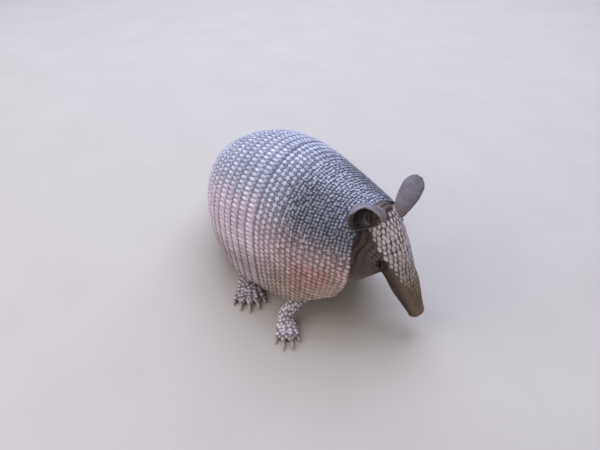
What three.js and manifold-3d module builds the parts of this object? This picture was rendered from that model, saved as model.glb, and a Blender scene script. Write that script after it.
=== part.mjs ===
// A young nine-banded armadillo, life size, as a still model: it stands low on its four feet with
// its body bent to its left, its head hanging and its tail laid behind it on the floor.
// Millimetres, +Z up. The finished group is centred on the origin, with the floor at z = 0.
import * as THREE from 'three';
import { mergeVertices } from 'three/addons/utils/BufferGeometryUtils.js';
import Module from 'manifold-3d';

const wasm = await Module();
wasm.setup();

// ---------------------------------------------------------------- driving dimensions
const GAP = 0.35; // clearance between neighbouring pieces
const SHIELD_LENGTH = 64; // scapular shield along the midline
const BAND_COUNT = 9;
const BANDS_LENGTH = 57; // the nine movable bands together, along the midline
const PELVIC_LENGTH = 71;
const PLATE_WALL = 2.4; // thickness of the shell
const PLATE_STEP = 0.8; // how far the rear edge of each plate stands above the next
const PLATE_GAP = 0.9; // slot between plates, along the midline
const PLATE_COLUMNS = 20; // facets across the shell
const SHIELD_ROWS = 6; // facets along each large shield
const SHIELD_RISE = 0.4; // how far a large shield thickens towards its rear edge
const TRUNK_FRONT = 13; // where the trunk ends and the neck begins, behind the nape
const SHELL_CLEARANCE = 1.1; // room between the trunk and the inside of the shell
const LOBE_REACH = 9; // how far the shield's side lobes reach ahead of the nape
const CREST = 0.62; // share of each half of the shell that arches over; the rest is flank

const EAR_LENGTH = 31;
const EAR_WALL = 1.3;
const EYE_RADIUS = 3.1;
const EYE_STATION = 35; // along the head from between the ears
const FACE_FROM = 1; // stretch of the head under the face shield
const FACE_TO = 53;
const FACE_REACH_TOP = 98; // half angle that the face shield covers at the forehead, degrees
const FACE_REACH_END = 58; // and at its end on the snout
const FACE_WALL = 1.1;
const FACE_SEAT = 1.65; // depth of the seat under the face shield, clear of its facets

const SHELL_END = SHIELD_LENGTH + BANDS_LENGTH + PELVIC_LENGTH;

// Stations of the shell by distance behind the nape: half width, height of the back, height of
// the widest point, height of the rim, and lean of the section in degrees (top forward).
const SHELL_STATIONS = [
  { s: -22, half: 34, top: 89, wide: 58, rim: 54, lean: 3 },
  { s: 0, half: 42, top: 97, wide: 60, rim: 36, lean: 3 },
  { s: 32, half: 51, top: 109, wide: 60, rim: 18, lean: 1 },
  { s: 64, half: 54, top: 121, wide: 61, rim: 15, lean: -1 },
  { s: 92, half: 54, top: 121, wide: 57, rim: 16, lean: -3 },
  { s: 121, half: 50, top: 111, wide: 51, rim: 17, lean: -1 },
  { s: 150, half: 43, top: 95, wide: 49, rim: 22, lean: -1 },
  { s: 175, half: 34, top: 78, wide: 47, rim: 29, lean: -5 },
  { s: 192, half: 25, top: 64, wide: 46, rim: 35, lean: -9 },
];
const TUCK = 0.92; // width at the rim as a share of the full width

// Heading of the spine, in degrees turned from -Y towards +X, by distance behind the nape.
const HEADINGS = [
  { s: -22, turn: 56 },
  { s: 0, turn: 50 },
  { s: 64, turn: 49 },
  { s: 92, turn: 38 },
  { s: 121, turn: 19 },
  { s: 192, turn: 16 },
];
const SHIELD_REAR = new THREE.Vector2(1, 349.5); // spine at the rear of the scapular shield

// Sections of the head from between the ears to the nose: half width, depth above and below.
const HEAD_SECTIONS = [
  { t: -7, half: 7, above: 6, below: 8 },
  { t: -3, half: 11.5, above: 10, below: 12 },
  { t: 4, half: 14.5, above: 12.5, below: 14.5 },
  { t: 14, half: 16.2, above: 13.8, below: 15.5 },
  { t: 25, half: 16.2, above: 13.4, below: 15 },
  { t: 36, half: 14.8, above: 12.2, below: 13.4 },
  { t: 48, half: 12.4, above: 11, below: 11.8 },
  { t: 60, half: 11.2, above: 10.2, below: 10.6 },
  { t: 71, half: 9, above: 8.2, below: 8 },
  { t: 79, half: 7.4, above: 6.8, below: 5.8 },
  { t: 82.5, half: 6.9, above: 6.4, below: 5.2 },
  { t: 84, half: 5.2, above: 5, below: 4 },
];
const HEAD_TOP = new THREE.Vector3(54.6, 308.3, 90); // axis of the head between the ears
const HEAD_TURN = 49.5; // heading of the head, degrees
const HEAD_DROP = 59.5; // how steeply the snout points down, degrees

// ---------------------------------------------------------------- colours
const COLOURS = {
  shell: 0x8a8183,
  band: 0x9a8e8c,
  skin: 0x8c7466,
  face: 0xb49c88,
  ear: 0x7d6b62,
  eye: 0x120e0c,
  claw: 0xcbb9a0,
  tail: 0x7f716b,
};
const FINISH = {
  shell: { roughness: 0.55, metalness: 0 },
  band: { roughness: 0.55, metalness: 0 },
  skin: { roughness: 0.8, metalness: 0 },
  face: { roughness: 0.6, metalness: 0 },
  ear: { roughness: 0.7, metalness: 0 },
  eye: { roughness: 0.08, metalness: 0 },
  claw: { roughness: 0.4, metalness: 0 },
  tail: { roughness: 0.6, metalness: 0 },
};

// ---------------------------------------------------------------- small helpers
const rad = THREE.MathUtils.degToRad;
const lerp = THREE.MathUtils.lerp;

function spread(count, from, to) {
  return Array.from({ length: count + 1 }, (_, i) => lerp(from, to, i / count));
}

/** Index of the interval of `table` that holds `x` in its `key` column. */
function intervalOf(table, key, x) {
  let i = 0;
  while (i < table.length - 2 && x > table[i + 1][key]) i += 1;
  return i;
}

/** Smooth value of column `field` at x, through every row of the table. */
function through(table, key, field, x) {
  const i = intervalOf(table, key, x);
  const slope = (k) => {
    const a = table[Math.max(k - 1, 0)];
    const b = table[Math.min(k + 1, table.length - 1)];
    return (b[field] - a[field]) / (b[key] - a[key]);
  };
  const span = table[i + 1][key] - table[i][key];
  const u = (x - table[i][key]) / span;
  const ease = u * u * (3 - 2 * u);
  return table[i][field] * (1 - ease) + table[i + 1][field] * ease
    + span * u * (1 - u) * ((1 - u) * slope(i) - u * slope(i + 1));
}

/** Straight-line value of column `field` at x. */
function along(table, key, field, x) {
  const i = intervalOf(table, key, x);
  const u = (x - table[i][key]) / (table[i + 1][key] - table[i][key]);
  return lerp(table[i][field], table[i + 1][field], u);
}

function geometryFrom(points, triangles) {
  const geometry = new THREE.BufferGeometry();
  const numbers = points.flatMap((p) => p.toArray());
  geometry.setAttribute('position', new THREE.Float32BufferAttribute(numbers, 3));
  let volume = 0;
  for (const [a, b, c] of triangles) {
    volume += points[a].dot(new THREE.Vector3().crossVectors(points[b], points[c]));
  }
  const order = volume < 0 ? triangles.map(([a, b, c]) => [a, c, b]) : triangles;
  geometry.setIndex(order.flat());
  return geometry;
}

/** Closed body through a row of closed rings, each with the same number of points. */
function loft(rings) {
  const around = rings[0].length;
  const points = rings.flat();
  const triangles = [];
  for (let i = 0; i < rings.length - 1; i += 1) {
    for (let j = 0; j < around; j += 1) {
      const a = i * around + j;
      const b = i * around + ((j + 1) % around);
      triangles.push([a, b, a + around], [b, b + around, a + around]);
    }
  }
  const centreOf = (ring) => ring.reduce((sum, p) => sum.add(p), new THREE.Vector3()).divideScalar(around);
  const last = (rings.length - 1) * around;
  points.push(centreOf(rings[0]), centreOf(rings[rings.length - 1]));
  for (let j = 0; j < around; j += 1) {
    const next = (j + 1) % around;
    triangles.push([next, j, points.length - 2], [last + j, last + next, points.length - 1]);
  }
  return geometryFrom(points, triangles);
}

/** Closed wall between an outer and an inner grid of points of the same size. */
function wall(outer, inner) {
  const rows = outer.length;
  const columns = outer[0].length;
  const points = [...outer.flat(), ...inner.flat()];
  const offset = rows * columns;
  const triangles = [];
  const quad = (a, b, c, d) => triangles.push([a, b, c], [a, c, d]);
  const at = (i, j) => i * columns + j;
  for (let i = 0; i < rows - 1; i += 1) {
    for (let j = 0; j < columns - 1; j += 1) {
      quad(at(i, j), at(i, j + 1), at(i + 1, j + 1), at(i + 1, j));
      quad(offset + at(i, j), offset + at(i + 1, j), offset + at(i + 1, j + 1), offset + at(i, j + 1));
    }
  }
  for (let j = 0; j < columns - 1; j += 1) {
    const end = rows - 1;
    quad(at(0, j), offset + at(0, j), offset + at(0, j + 1), at(0, j + 1));
    quad(at(end, j), at(end, j + 1), offset + at(end, j + 1), offset + at(end, j));
  }
  for (let i = 0; i < rows - 1; i += 1) {
    const end = columns - 1;
    quad(at(i, 0), at(i + 1, 0), offset + at(i + 1, 0), offset + at(i, 0));
    quad(at(i, end), offset + at(i, end), offset + at(i + 1, end), at(i + 1, end));
  }
  return geometryFrom(points, triangles);
}

function solidOf(geometry) {
  const bare = geometry.clone();
  bare.deleteAttribute('normal');
  bare.deleteAttribute('uv');
  const merged = mergeVertices(bare, 1e-4);
  return new wasm.Manifold(new wasm.Mesh({
    numProp: 3,
    vertProperties: merged.attributes.position.array,
    triVerts: new Uint32Array(merged.index.array),
  }));
}

function geometryOf(solid) {
  const mesh = solid.getMesh();
  const geometry = new THREE.BufferGeometry();
  geometry.setAttribute('position', new THREE.Float32BufferAttribute(mesh.vertProperties, 3));
  geometry.setIndex(Array.from(mesh.triVerts));
  return geometry;
}

/** The half of space on the side of `normal` of the plane through `point`, as a large box. */
function halfSpace(point, normal) {
  const size = 900;
  const box = new THREE.BoxGeometry(size, size, size);
  box.translate(0, 0, size / 2);
  const up = new THREE.Vector3(0, 0, 1);
  const turn = new THREE.Quaternion().setFromUnitVectors(up, normal.clone().normalize());
  box.applyQuaternion(turn);
  box.translate(point.x, point.y, point.z);
  return solidOf(box);
}

const ABOVE_FLOOR = halfSpace(new THREE.Vector3(0, 300, 0), new THREE.Vector3(0, 0, 1));

// ---------------------------------------------------------------- the spine and the shell
const SPINE_STEP = 1;
const SPINE_START = -30;

/** The spine in plan, stepped both ways from the rear of the scapular shield. */
const spine = (() => {
  const table = new Map();
  table.set(SHIELD_LENGTH, SHIELD_REAR.clone());
  for (const sign of [1, -1]) {
    const end = sign > 0 ? SHELL_END + 10 : SPINE_START;
    const at = SHIELD_REAR.clone();
    for (let s = SHIELD_LENGTH; s !== end; s += sign * SPINE_STEP) {
      const turn = rad(along(HEADINGS, 's', 'turn', s + sign * SPINE_STEP * 0.5));
      at.x -= sign * SPINE_STEP * Math.sin(turn);
      at.y += sign * SPINE_STEP * Math.cos(turn);
      table.set(s + sign * SPINE_STEP, at.clone());
    }
  }
  return table;
})();

/** Place, forward direction and left-hand direction of the spine at a distance behind the nape. */
function spineAt(s) {
  const low = Math.floor(s);
  const place = spine.get(low).clone().lerp(spine.get(low + 1), s - low);
  const turn = rad(along(HEADINGS, 's', 'turn', s));
  return {
    x: place.x,
    y: place.y,
    forward: new THREE.Vector3(Math.sin(turn), -Math.cos(turn), 0),
    left: new THREE.Vector3(Math.cos(turn), Math.sin(turn), 0),
  };
}

/** Point of the shell's outside; v runs from -1 at the right rim over the back to 1 at the left. */
function shellSurface(s, v) {
  const value = (field) => through(SHELL_STATIONS, 's', field, s);
  const at = spineAt(s);
  const share = Math.abs(v);
  let across;
  let z;
  if (share <= CREST) {
    const angle = (share / CREST) * (Math.PI / 2);
    across = value('half') * Math.sin(angle);
    z = lerp(value('wide'), value('top'), Math.cos(angle));
  } else {
    const full = Math.acos(TUCK);
    const angle = ((share - CREST) / (1 - CREST)) * full;
    across = value('half') * Math.cos(angle);
    z = lerp(value('wide'), value('rim'), Math.sin(angle) / Math.sin(full));
  }
  const ahead = (z - value('wide')) * Math.tan(rad(value('lean')));
  return new THREE.Vector3(at.x, at.y, z)
    .addScaledVector(at.left, Math.sign(v) * across)
    .addScaledVector(at.forward, ahead);
}

/** The same point moved outward by `lift` millimetres (inward when negative). */
function shellPoint(s, v, lift = 0) {
  const step = 0.01;
  const here = shellSurface(s, v);
  const back = shellSurface(s + 1, v).sub(shellSurface(s - 1, v));
  const over = shellSurface(s, Math.min(v + step, 1)).sub(shellSurface(s, Math.max(v - step, -1)));
  const normal = over.cross(back).normalize();
  return here.addScaledVector(normal, lift);
}

/** Front edge of the scapular shield: level at the nape, with a lobe on each side. */
function shieldFront(v) {
  const share = Math.abs(v);
  if (share < CREST) return -LOBE_REACH * Math.sin((share / CREST) * (Math.PI / 2)) ** 2;
  return -LOBE_REACH * Math.cos(((share - CREST) / (1 - CREST)) * (Math.PI / 2) * 0.9);
}

/**
 * One plate of the shell between two edges given as functions of v. It stands `rise` higher at
 * its rear edge, and is thicker by `margin` on both sides where it is used as a clearance.
 */
function shellPlate(frontEdge, rearEdge, rows, rise, margin = 0) {
  const grid = (lift) => spread(rows, 0, 1).map((u) => spread(PLATE_COLUMNS, -1, 1).map((v) => {
    const s = lerp(frontEdge(v), rearEdge(v), u);
    return shellPoint(s, v, lift + rise * u);
  }));
  return wall(grid(margin), grid(-PLATE_WALL - margin));
}

const bandEdge = (index) => SHIELD_LENGTH + (BANDS_LENGTH * index) / BAND_COUNT;

// ---------------------------------------------------------------- trunk and neck
const BELLY = [
  { s: -4, low: 36 },
  { s: 14, low: 25 },
  { s: 36, low: 18.5 },
  { s: 64, low: 17 },
  { s: 121, low: 17 },
  { s: 150, low: 19 },
  { s: 175, low: 25 },
  { s: 188, low: 32 },
];

/** Closed ring of the trunk: under the shell along the back, then across the belly. */
function trunkRing(s, lift) {
  const inset = lift - PLATE_WALL - SHELL_CLEARANCE;
  const back = spread(14, -1, 1).map((v) => shellPoint(s, v * 0.985, inset));
  const low = through(BELLY, 's', 'low', s) - lift;
  const [right, left] = [back[0], back[back.length - 1]];
  const belly = spread(7, 0, 1).slice(1, -1).map((u) => {
    const point = left.clone().lerp(right, u);
    point.z -= (point.z - low) * Math.sin(Math.PI * u) ** 0.55;
    return point;
  });
  return [...back, ...belly];
}

function trunkBody(lift = 0) {
  const stations = [TRUNK_FRONT - lift, 26, 44, 64, 84, 104, 121, 140, 158, 174, 187 + lift];
  return solidOf(loft(stations.map((s) => trunkRing(s, lift))));
}

/** Oval ring about a centre, in the plane of two directions, with separate depths up and down. */
function oval(centre, side, up, half, above, below, count = 14) {
  return spread(count, 0, 2 * Math.PI).slice(0, -1).map((angle) => centre.clone()
    .addScaledVector(side, half * Math.sin(angle))
    .addScaledVector(up, (Math.cos(angle) > 0 ? above : below) * Math.cos(angle)));
}

const headHeading = new THREE.Vector3(Math.sin(rad(HEAD_TURN)), -Math.cos(rad(HEAD_TURN)), 0);
const headForward = headHeading.clone().multiplyScalar(Math.cos(rad(HEAD_DROP)));
headForward.z = -Math.sin(rad(HEAD_DROP));
const headLeft = new THREE.Vector3(Math.cos(rad(HEAD_TURN)), Math.sin(rad(HEAD_TURN)), 0);
const headUp = new THREE.Vector3().crossVectors(headForward, headLeft).normalize();

const headAxis = (t) => HEAD_TOP.clone().addScaledVector(headForward, t);

/** Point of the head's outside; angle 0 is the crown line and grows towards the left side. */
function headPoint(t, angle, lift = 0) {
  const value = (field) => through(HEAD_SECTIONS, 't', field, t) + lift;
  const depth = Math.cos(angle) > 0 ? value('above') : value('below');
  return headAxis(t)
    .addScaledVector(headLeft, value('half') * Math.sin(angle))
    .addScaledVector(headUp, depth * Math.cos(angle));
}

/** Half angle that the face shield covers at a station of the head. */
function faceReach(t) {
  const rounding = Math.sin(rad(lerp(58, 90, Math.min(t / 12, 1))));
  const share = (t - FACE_FROM) / (FACE_TO - FACE_FROM);
  return rad(lerp(FACE_REACH_TOP, FACE_REACH_END, share)) * rounding;
}

/** The head; with `seat` set, its surface is lowered where the face shield lies. */
function headBody(lift, seat) {
  const around = 18;
  const stations = [-7, -3, 0, 5, 14, 25, 36, 45, 54, 55.5, 71, 79, 82.5, 84];
  const rings = stations.map((t) => spread(around, -Math.PI, Math.PI).slice(0, -1).map((angle) => {
    const margin = (2 * Math.PI) / around;
    const covered = t > FACE_FROM - 2 && t < FACE_TO + 2 && Math.abs(angle) < faceReach(t) + margin;
    return headPoint(t, angle, covered ? lift - seat : lift);
  }));
  return solidOf(loft(rings));
}

/** The neck, from inside the front of the shell to the back of the head. */
function neckBody() {
  const rear = spineAt(TRUNK_FRONT - GAP);
  const stations = [
    { ahead: 0, z: 62, half: 38, above: 35, below: 33 },
    { ahead: 8, z: 61, half: 34, above: 31, below: 30 },
    { ahead: 16, z: 60, half: 28, above: 25, below: 26 },
    { ahead: 24, z: 60, half: 20, above: 19, below: 19 },
    { ahead: 31, z: 60, half: 11, above: 12, below: 12 },
  ];
  return solidOf(loft(stations.map((ring) => {
    const centre = new THREE.Vector3(rear.x, rear.y, ring.z).addScaledVector(rear.forward, ring.ahead);
    return oval(centre, rear.left, new THREE.Vector3(0, 0, 1), ring.half, ring.above, ring.below);
  })));
}

// ---------------------------------------------------------------- ears
/**
 * A cupped leaf. `axis` runs from base to tip, `open` is the way that its hollow faces, and
 * `curl` is how far round its edges come at the base, in degrees, and `unroll` the share of that
 * which is gone at the tip.
 */
function earGeometry({ base, axis, open, length, width, curl, unroll }) {
  const along3 = axis.clone().normalize();
  const side = new THREE.Vector3().crossVectors(along3, open).normalize();
  const face = new THREE.Vector3().crossVectors(side, along3).normalize();
  const grid = (depth) => spread(6, 0, 1).map((u) => {
    const swell = 0.42 + 0.58 * Math.sin(Math.PI * (0.12 + 0.62 * u));
    const tip = u < 0.7 ? 1 : Math.sqrt(Math.max(1 - ((u - 0.7) / 0.31) ** 2, 0));
    const half = (width / 2) * swell * tip;
    const bend = rad(curl) * (1 - unroll * u);
    const radius = half / Math.sin(Math.min(bend, Math.PI / 2));
    const foot = base.clone().addScaledVector(along3, length * u);
    return spread(7, -1, 1).map((w) => {
      const angle = bend * w;
      return foot.clone()
        .addScaledVector(side, (radius + depth) * Math.sin(angle))
        .addScaledVector(face, radius * Math.cos(bend) - (radius + depth) * Math.cos(angle));
    });
  });
  return wall(grid(EAR_WALL / 2), grid(-EAR_WALL / 2));
}

// ---------------------------------------------------------------- limbs
/** Loft of round sections along a list of { at, radius } stations. */
function limbLoft(stations, count = 10) {
  const rings = stations.map(({ at, radius, flat = 1 }, i) => {
    const before = stations[Math.max(i - 1, 0)].at;
    const after = stations[Math.min(i + 1, stations.length - 1)].at;
    const along3 = after.clone().sub(before).normalize();
    const helper = Math.abs(along3.z) > 0.9 ? new THREE.Vector3(0, 1, 0) : new THREE.Vector3(0, 0, 1);
    const side = new THREE.Vector3().crossVectors(along3, helper).normalize();
    const up = new THREE.Vector3().crossVectors(side, along3).normalize();
    return oval(at, side, up, radius, radius * flat, radius * flat, count);
  });
  return solidOf(loft(rings));
}

/**
 * A foot that stands on the floor: a low palm from the heel to the knuckles, toes that spread
 * from it, and a claw for each toe. `tip` is the point of the longest claw, on the floor.
 */
function buildFoot({ tip, turn, length, width, height, toes, toeLength, clawLength }) {
  const ahead = new THREE.Vector3(Math.sin(rad(turn)), -Math.cos(rad(turn)), 0);
  const left = new THREE.Vector3(Math.cos(rad(turn)), Math.sin(rad(turn)), 0);
  const up = new THREE.Vector3(0, 0, 1);
  const heel = tip.clone().addScaledVector(ahead, -length);
  const palmLength = length - toeLength - clawLength;
  const place = (forward, side, z) => heel.clone()
    .addScaledVector(ahead, forward)
    .addScaledVector(left, side)
    .addScaledVector(up, z);
  let body = solidOf(loft([
    { f: 0, half: width * 0.28, high: height * 0.5 },
    { f: palmLength * 0.12, half: width * 0.36, high: height * 0.9 },
    { f: palmLength * 0.5, half: width * 0.44, high: height },
    { f: palmLength * 0.85, half: width * 0.5, high: height * 0.8 },
    { f: palmLength, half: width * 0.47, high: height * 0.62 },
  ].map(({ f, half, high }) => {
    const centre = place(f, 0, 0.3 * high);
    return oval(centre, left, up, half, high * 0.7, high * 0.6, 10);
  })));
  const claws = [];
  for (const toe of toes) {
    const fan = new THREE.Vector3().copy(ahead).applyAxisAngle(up, rad(toe.splay));
    const root = place(palmLength * 0.84, toe.side * width * 0.5, 0);
    const reach = toeLength * toe.long + palmLength * 0.16;
    const thick = toe.thick;
    const point = (share, z) => root.clone().addScaledVector(fan, reach * share).setZ(z);
    const ring = (share, z, radius) => ({ at: point(share, z), radius });
    body = body.add(limbLoft([
      ring(0.1, height * 0.36, thick * 0.95),
      ring(0.75, thick * 0.86, thick * 0.98),
      ring(1, thick * 0.66, thick * 0.5),
    ], 6));
    const nail = clawLength * toe.long;
    claws.push(limbLoft([
      { at: point(1, thick * 0.68).addScaledVector(fan, GAP), radius: thick * 0.46 },
      { at: point(1, thick * 0.78).addScaledVector(fan, nail * 0.45), radius: thick * 0.4 },
      { at: point(1, thick * 0.36).addScaledVector(fan, nail), radius: thick * 0.12 },
    ], 6).intersect(ABOVE_FLOOR));
  }
  return { body, claws, place, ahead, left, palmLength };
}

/** Leg and foot as one body, parted by a thin cut across the ankle. */
function buildLimb(spec, keepClearOf) {
  const foot = buildFoot(spec.foot);
  const ankle = foot.place(foot.palmLength * spec.ankle.share, 0, spec.ankle.height);
  const heart = foot.place(foot.palmLength * (spec.ankle.share + 0.06), 0, spec.foot.height * 0.45);
  const leg = limbLoft([
    ...spec.leg.map(({ at, radius, flat }) => ({ at, radius, flat })),
    { at: ankle, radius: spec.ankle.radius, flat: 0.9 },
    { at: heart, radius: spec.ankle.radius },
  ]);
  const whole = leg.add(foot.body).intersect(ABOVE_FLOOR).subtract(keepClearOf);
  const lean = new THREE.Vector3(0, 0, 1).addScaledVector(foot.ahead, spec.ankle.tilt);
  const cut = foot.place(foot.palmLength * spec.ankle.share, 0, spec.ankle.cut);
  const upper = whole.intersect(halfSpace(cut.clone().addScaledVector(lean, GAP / 2), lean));
  const under = lean.clone().negate();
  const lower = whole.intersect(halfSpace(cut.clone().addScaledVector(under, GAP / 2), under));
  return { upper, lower, claws: foot.claws };
}

const FORE_TOES = [
  { side: -0.62, splay: -17, long: 0.62, thick: 2.5 },
  { side: -0.22, splay: -5, long: 1, thick: 3 },
  { side: 0.22, splay: 5, long: 0.97, thick: 3 },
  { side: 0.62, splay: 17, long: 0.6, thick: 2.4 },
];
const HIND_TOES = [
  { side: -0.76, splay: -20, long: 0.5, thick: 2.5 },
  { side: -0.4, splay: -9, long: 0.85, thick: 3.1 },
  { side: 0, splay: 0, long: 1, thick: 3.3 },
  { side: 0.4, splay: 9, long: 0.85, thick: 3.1 },
  { side: 0.76, splay: 20, long: 0.5, thick: 2.5 },
];
const FORE_FOOT = { length: 33, width: 17, height: 9, toeLength: 9, clawLength: 9, toes: FORE_TOES };
const HIND_FOOT = { length: 50, width: 21, height: 11, toeLength: 10, clawLength: 8, toes: HIND_TOES };
const vec = (x, y, z) => new THREE.Vector3(x, y, z);

const LIMBS = {
  foreleg_right: {
    foot: { ...FORE_FOOT, tip: vec(-8.5, 259, 0), turn: 4 },
    ankle: { share: 0.12, height: 8.6, radius: 5.6, cut: 10, tilt: -1.1 },
    leg: [{ at: vec(15, 323, 48), radius: 13 }, { at: vec(8, 311.5, 27), radius: 9.5 },
      { at: vec(0.5, 301, 14.5), radius: 6.6 }],
  },
  foreleg_left: {
    foot: { ...FORE_FOOT, tip: vec(52, 340, 0), turn: 40 },
    ankle: { share: 0.12, height: 8.6, radius: 5.6, cut: 10, tilt: -1.1 },
    leg: [{ at: vec(26, 346, 48), radius: 13 }, { at: vec(24, 358, 30), radius: 9.5 },
      { at: vec(26, 364, 18), radius: 6.6 }],
  },
  hindleg_right: {
    foot: { ...HIND_FOOT, tip: vec(-39.5, 298, 0), turn: 6 },
    ankle: { share: 0.22, height: 16, radius: 8, cut: 12.5, tilt: 0.1 },
    leg: [{ at: vec(-54, 398, 46), radius: 16 }, { at: vec(-50, 372, 34), radius: 15 },
      { at: vec(-46, 352, 24), radius: 11 }],
  },
  hindleg_left: {
    foot: { ...HIND_FOOT, tip: vec(18, 372, 0), turn: 28 },
    ankle: { share: 0.22, height: 16, radius: 8, cut: 12.5, tilt: 0.1 },
    leg: [{ at: vec(-26, 430, 46), radius: 15 }, { at: vec(-12, 416, 36), radius: 12 },
      { at: vec(-6, 412, 24), radius: 9 }],
  },
};

// ---------------------------------------------------------------- tail
const TAIL_ROUTE = [
  vec(-52, 458, 48), vec(-55, 472, 43), vec(-61, 488, 29), vec(-68, 507, 16), vec(-72, 532, 10.6),
  vec(-64, 557, 8), vec(-46, 576, 6.2), vec(-22, 585, 4.6), vec(1, 584, 3.2), vec(20, 574, 2.2),
];
const TAIL_RADII = [
  { u: 0, radius: 14 },
  { u: 0.12, radius: 13.4 },
  { u: 0.3, radius: 11.4 },
  { u: 0.5, radius: 8.6 },
  { u: 0.75, radius: 5.4 },
  { u: 1, radius: 2.2 },
];
const TAIL_LENGTHS = [
  { name: 'tail_base', from: 0.02, to: 0.3, rings: 5 },
  { name: 'tail_middle', from: 0.3, to: 0.58, rings: 5 },
  { name: 'tail_end', from: 0.58, to: 0.82, rings: 4 },
  { name: 'tail_tip', from: 0.82, to: 1, rings: 3 },
];
const TAIL_RING_STEP = 0.5;
const tailCurve = new THREE.CatmullRomCurve3(TAIL_ROUTE);

/** One length of the tail: rings of armour, each flared at its rear edge. */
function tailLength({ from, to, rings }) {
  const cut = GAP / 2 / tailCurve.getLength();
  const edges = spread(rings, from + cut, to - cut);
  const stations = [];
  for (let i = 0; i < rings; i += 1) {
    const back = lerp(edges[i], edges[i + 1], 0.9);
    stations.push({ u: edges[i], flare: 0 }, { u: back, flare: TAIL_RING_STEP });
  }
  stations.push({ u: edges[rings], flare: 0 });
  const sections = stations.map(({ u, flare }) => {
    const at = tailCurve.getPointAt(u);
    const along3 = tailCurve.getTangentAt(u);
    const side = new THREE.Vector3().crossVectors(along3, vec(0, 0, 1)).normalize();
    const up = new THREE.Vector3().crossVectors(side, along3);
    const radius = through(TAIL_RADII, 'u', 'radius', u) + flare;
    return oval(at, side, up, radius, radius, radius, 12);
  });
  return solidOf(loft(sections)).intersect(ABOVE_FLOOR);
}

// ---------------------------------------------------------------- assembly
const armadillo = new THREE.Group();

function addPiece(name, geometry, kind) {
  const material = new THREE.MeshStandardMaterial({ color: COLOURS[kind], ...FINISH[kind] });
  const mesh = new THREE.Mesh(geometry, material);
  mesh.name = name;
  armadillo.add(mesh);
}

const halfGap = PLATE_GAP / 2;
const shieldRear = () => SHIELD_LENGTH - halfGap;
addPiece('scapular_shield', shellPlate(shieldFront, shieldRear, SHIELD_ROWS, SHIELD_RISE), 'shell');
for (let i = 0; i < BAND_COUNT; i += 1) {
  const front = () => bandEdge(i) + halfGap;
  const rear = () => bandEdge(i + 1) - halfGap;
  addPiece(`band_${i + 1}`, shellPlate(front, rear, 1, PLATE_STEP), 'band');
}
const pelvicFront = () => SHIELD_LENGTH + BANDS_LENGTH + halfGap;
addPiece('pelvic_shield', shellPlate(pelvicFront, () => SHELL_END, SHIELD_ROWS, SHIELD_RISE), 'shell');

const trunk = trunkBody();
const trunkRoom = trunkBody(GAP);
const head = headBody(0, FACE_SEAT);
const headRoom = headBody(GAP, 0);
const roomFront = (v) => shieldFront(v) - GAP;
const shieldRoom = solidOf(shellPlate(roomFront, shieldRear, SHIELD_ROWS, SHIELD_RISE, GAP));
const shellRoom = solidOf(shellPlate(roomFront, () => SHELL_END + GAP, 18, 0, GAP + PLATE_STEP));
addPiece('trunk', geometryOf(trunk), 'skin');
const neck = neckBody().subtract(headRoom).subtract(trunkRoom).subtract(shieldRoom);
addPiece('neck', geometryOf(neck), 'skin');

function eyeBall(side, extra) {
  const centre = headPoint(EYE_STATION, side * rad(92), -EYE_RADIUS * 0.45);
  const ball = new THREE.SphereGeometry(EYE_RADIUS + extra, 10, 7);
  ball.translate(centre.x, centre.y, centre.z);
  return ball;
}

/** The hard shield over the forehead, narrowing down the snout. */
function faceShield(lift, thickness) {
  const grid = (depth) => spread(7, FACE_FROM, FACE_TO).map((t) => {
    const reach = faceReach(t);
    return spread(8, -reach, reach).map((angle) => headPoint(t, angle, depth));
  });
  return wall(grid(lift), grid(lift - thickness));
}

const headCore = head
  .subtract(solidOf(eyeBall(1, GAP)))
  .subtract(solidOf(eyeBall(-1, GAP)))
  .subtract(shieldRoom);
addPiece('head', geometryOf(headCore), 'skin');
addPiece('face_shield', faceShield(0, FACE_WALL), 'face');
addPiece('eye_right', eyeBall(-1, 0), 'eye');
addPiece('eye_left', eyeBall(1, 0), 'eye');

const EARS = {
  ear_right: {
    base: headPoint(4, rad(-42), 0),
    axis: vec(-18, -9, 9),
    open: vec(-0.64, -0.74, 0.38),
    length: EAR_LENGTH * 0.93,
    width: 18.5,
    curl: 165,
    unroll: 0.6,
  },
  ear_left: {
    base: headPoint(6, rad(47), 1.2),
    axis: vec(11.5, 9.5, 21),
    open: vec(0.6, 0.8, -0.2),
    length: EAR_LENGTH * 0.93,
    width: 16.5,
    curl: 55,
    unroll: 0.45,
  },
};
for (const [name, ear] of Object.entries(EARS)) {
  const leaf = solidOf(earGeometry(ear)).subtract(headRoom).subtract(shieldRoom);
  addPiece(name, geometryOf(leaf), 'ear');
}

for (const [name, spec] of Object.entries(LIMBS)) {
  const { upper, lower, claws } = buildLimb(spec, shellRoom);
  const footName = name.replace('foreleg', 'forefoot').replace('hindleg', 'hindfoot');
  addPiece(name, geometryOf(upper.subtract(trunkRoom)), 'skin');
  addPiece(footName, geometryOf(lower), 'skin');
  claws.forEach((claw, i) => addPiece(`${footName}_claw_${i + 1}`, geometryOf(claw), 'claw'));
}

for (const piece of TAIL_LENGTHS) {
  const body = tailLength(piece);
  addPiece(piece.name, geometryOf(piece.from < 0.1 ? body.subtract(trunkRoom) : body), 'tail');
}

// The origin is the middle of the footprint, on the floor.
const bounds = new THREE.Box3().setFromObject(armadillo);
const middle = bounds.getCenter(new THREE.Vector3());
for (const piece of armadillo.children) piece.geometry.translate(-middle.x, -middle.y, 0);

export default armadillo;
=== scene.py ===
"""A young nine-banded armadillo, life size: skin, shell, tail armour, claws, eyes and hair over the solids."""

import math
from contextlib import contextmanager

import bmesh
import bpy
import numpy as np
from bpy.props import FloatProperty, FloatVectorProperty, IntProperty, PointerProperty
from mathutils import Matrix, Vector
from mathutils.kdtree import KDTree


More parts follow.
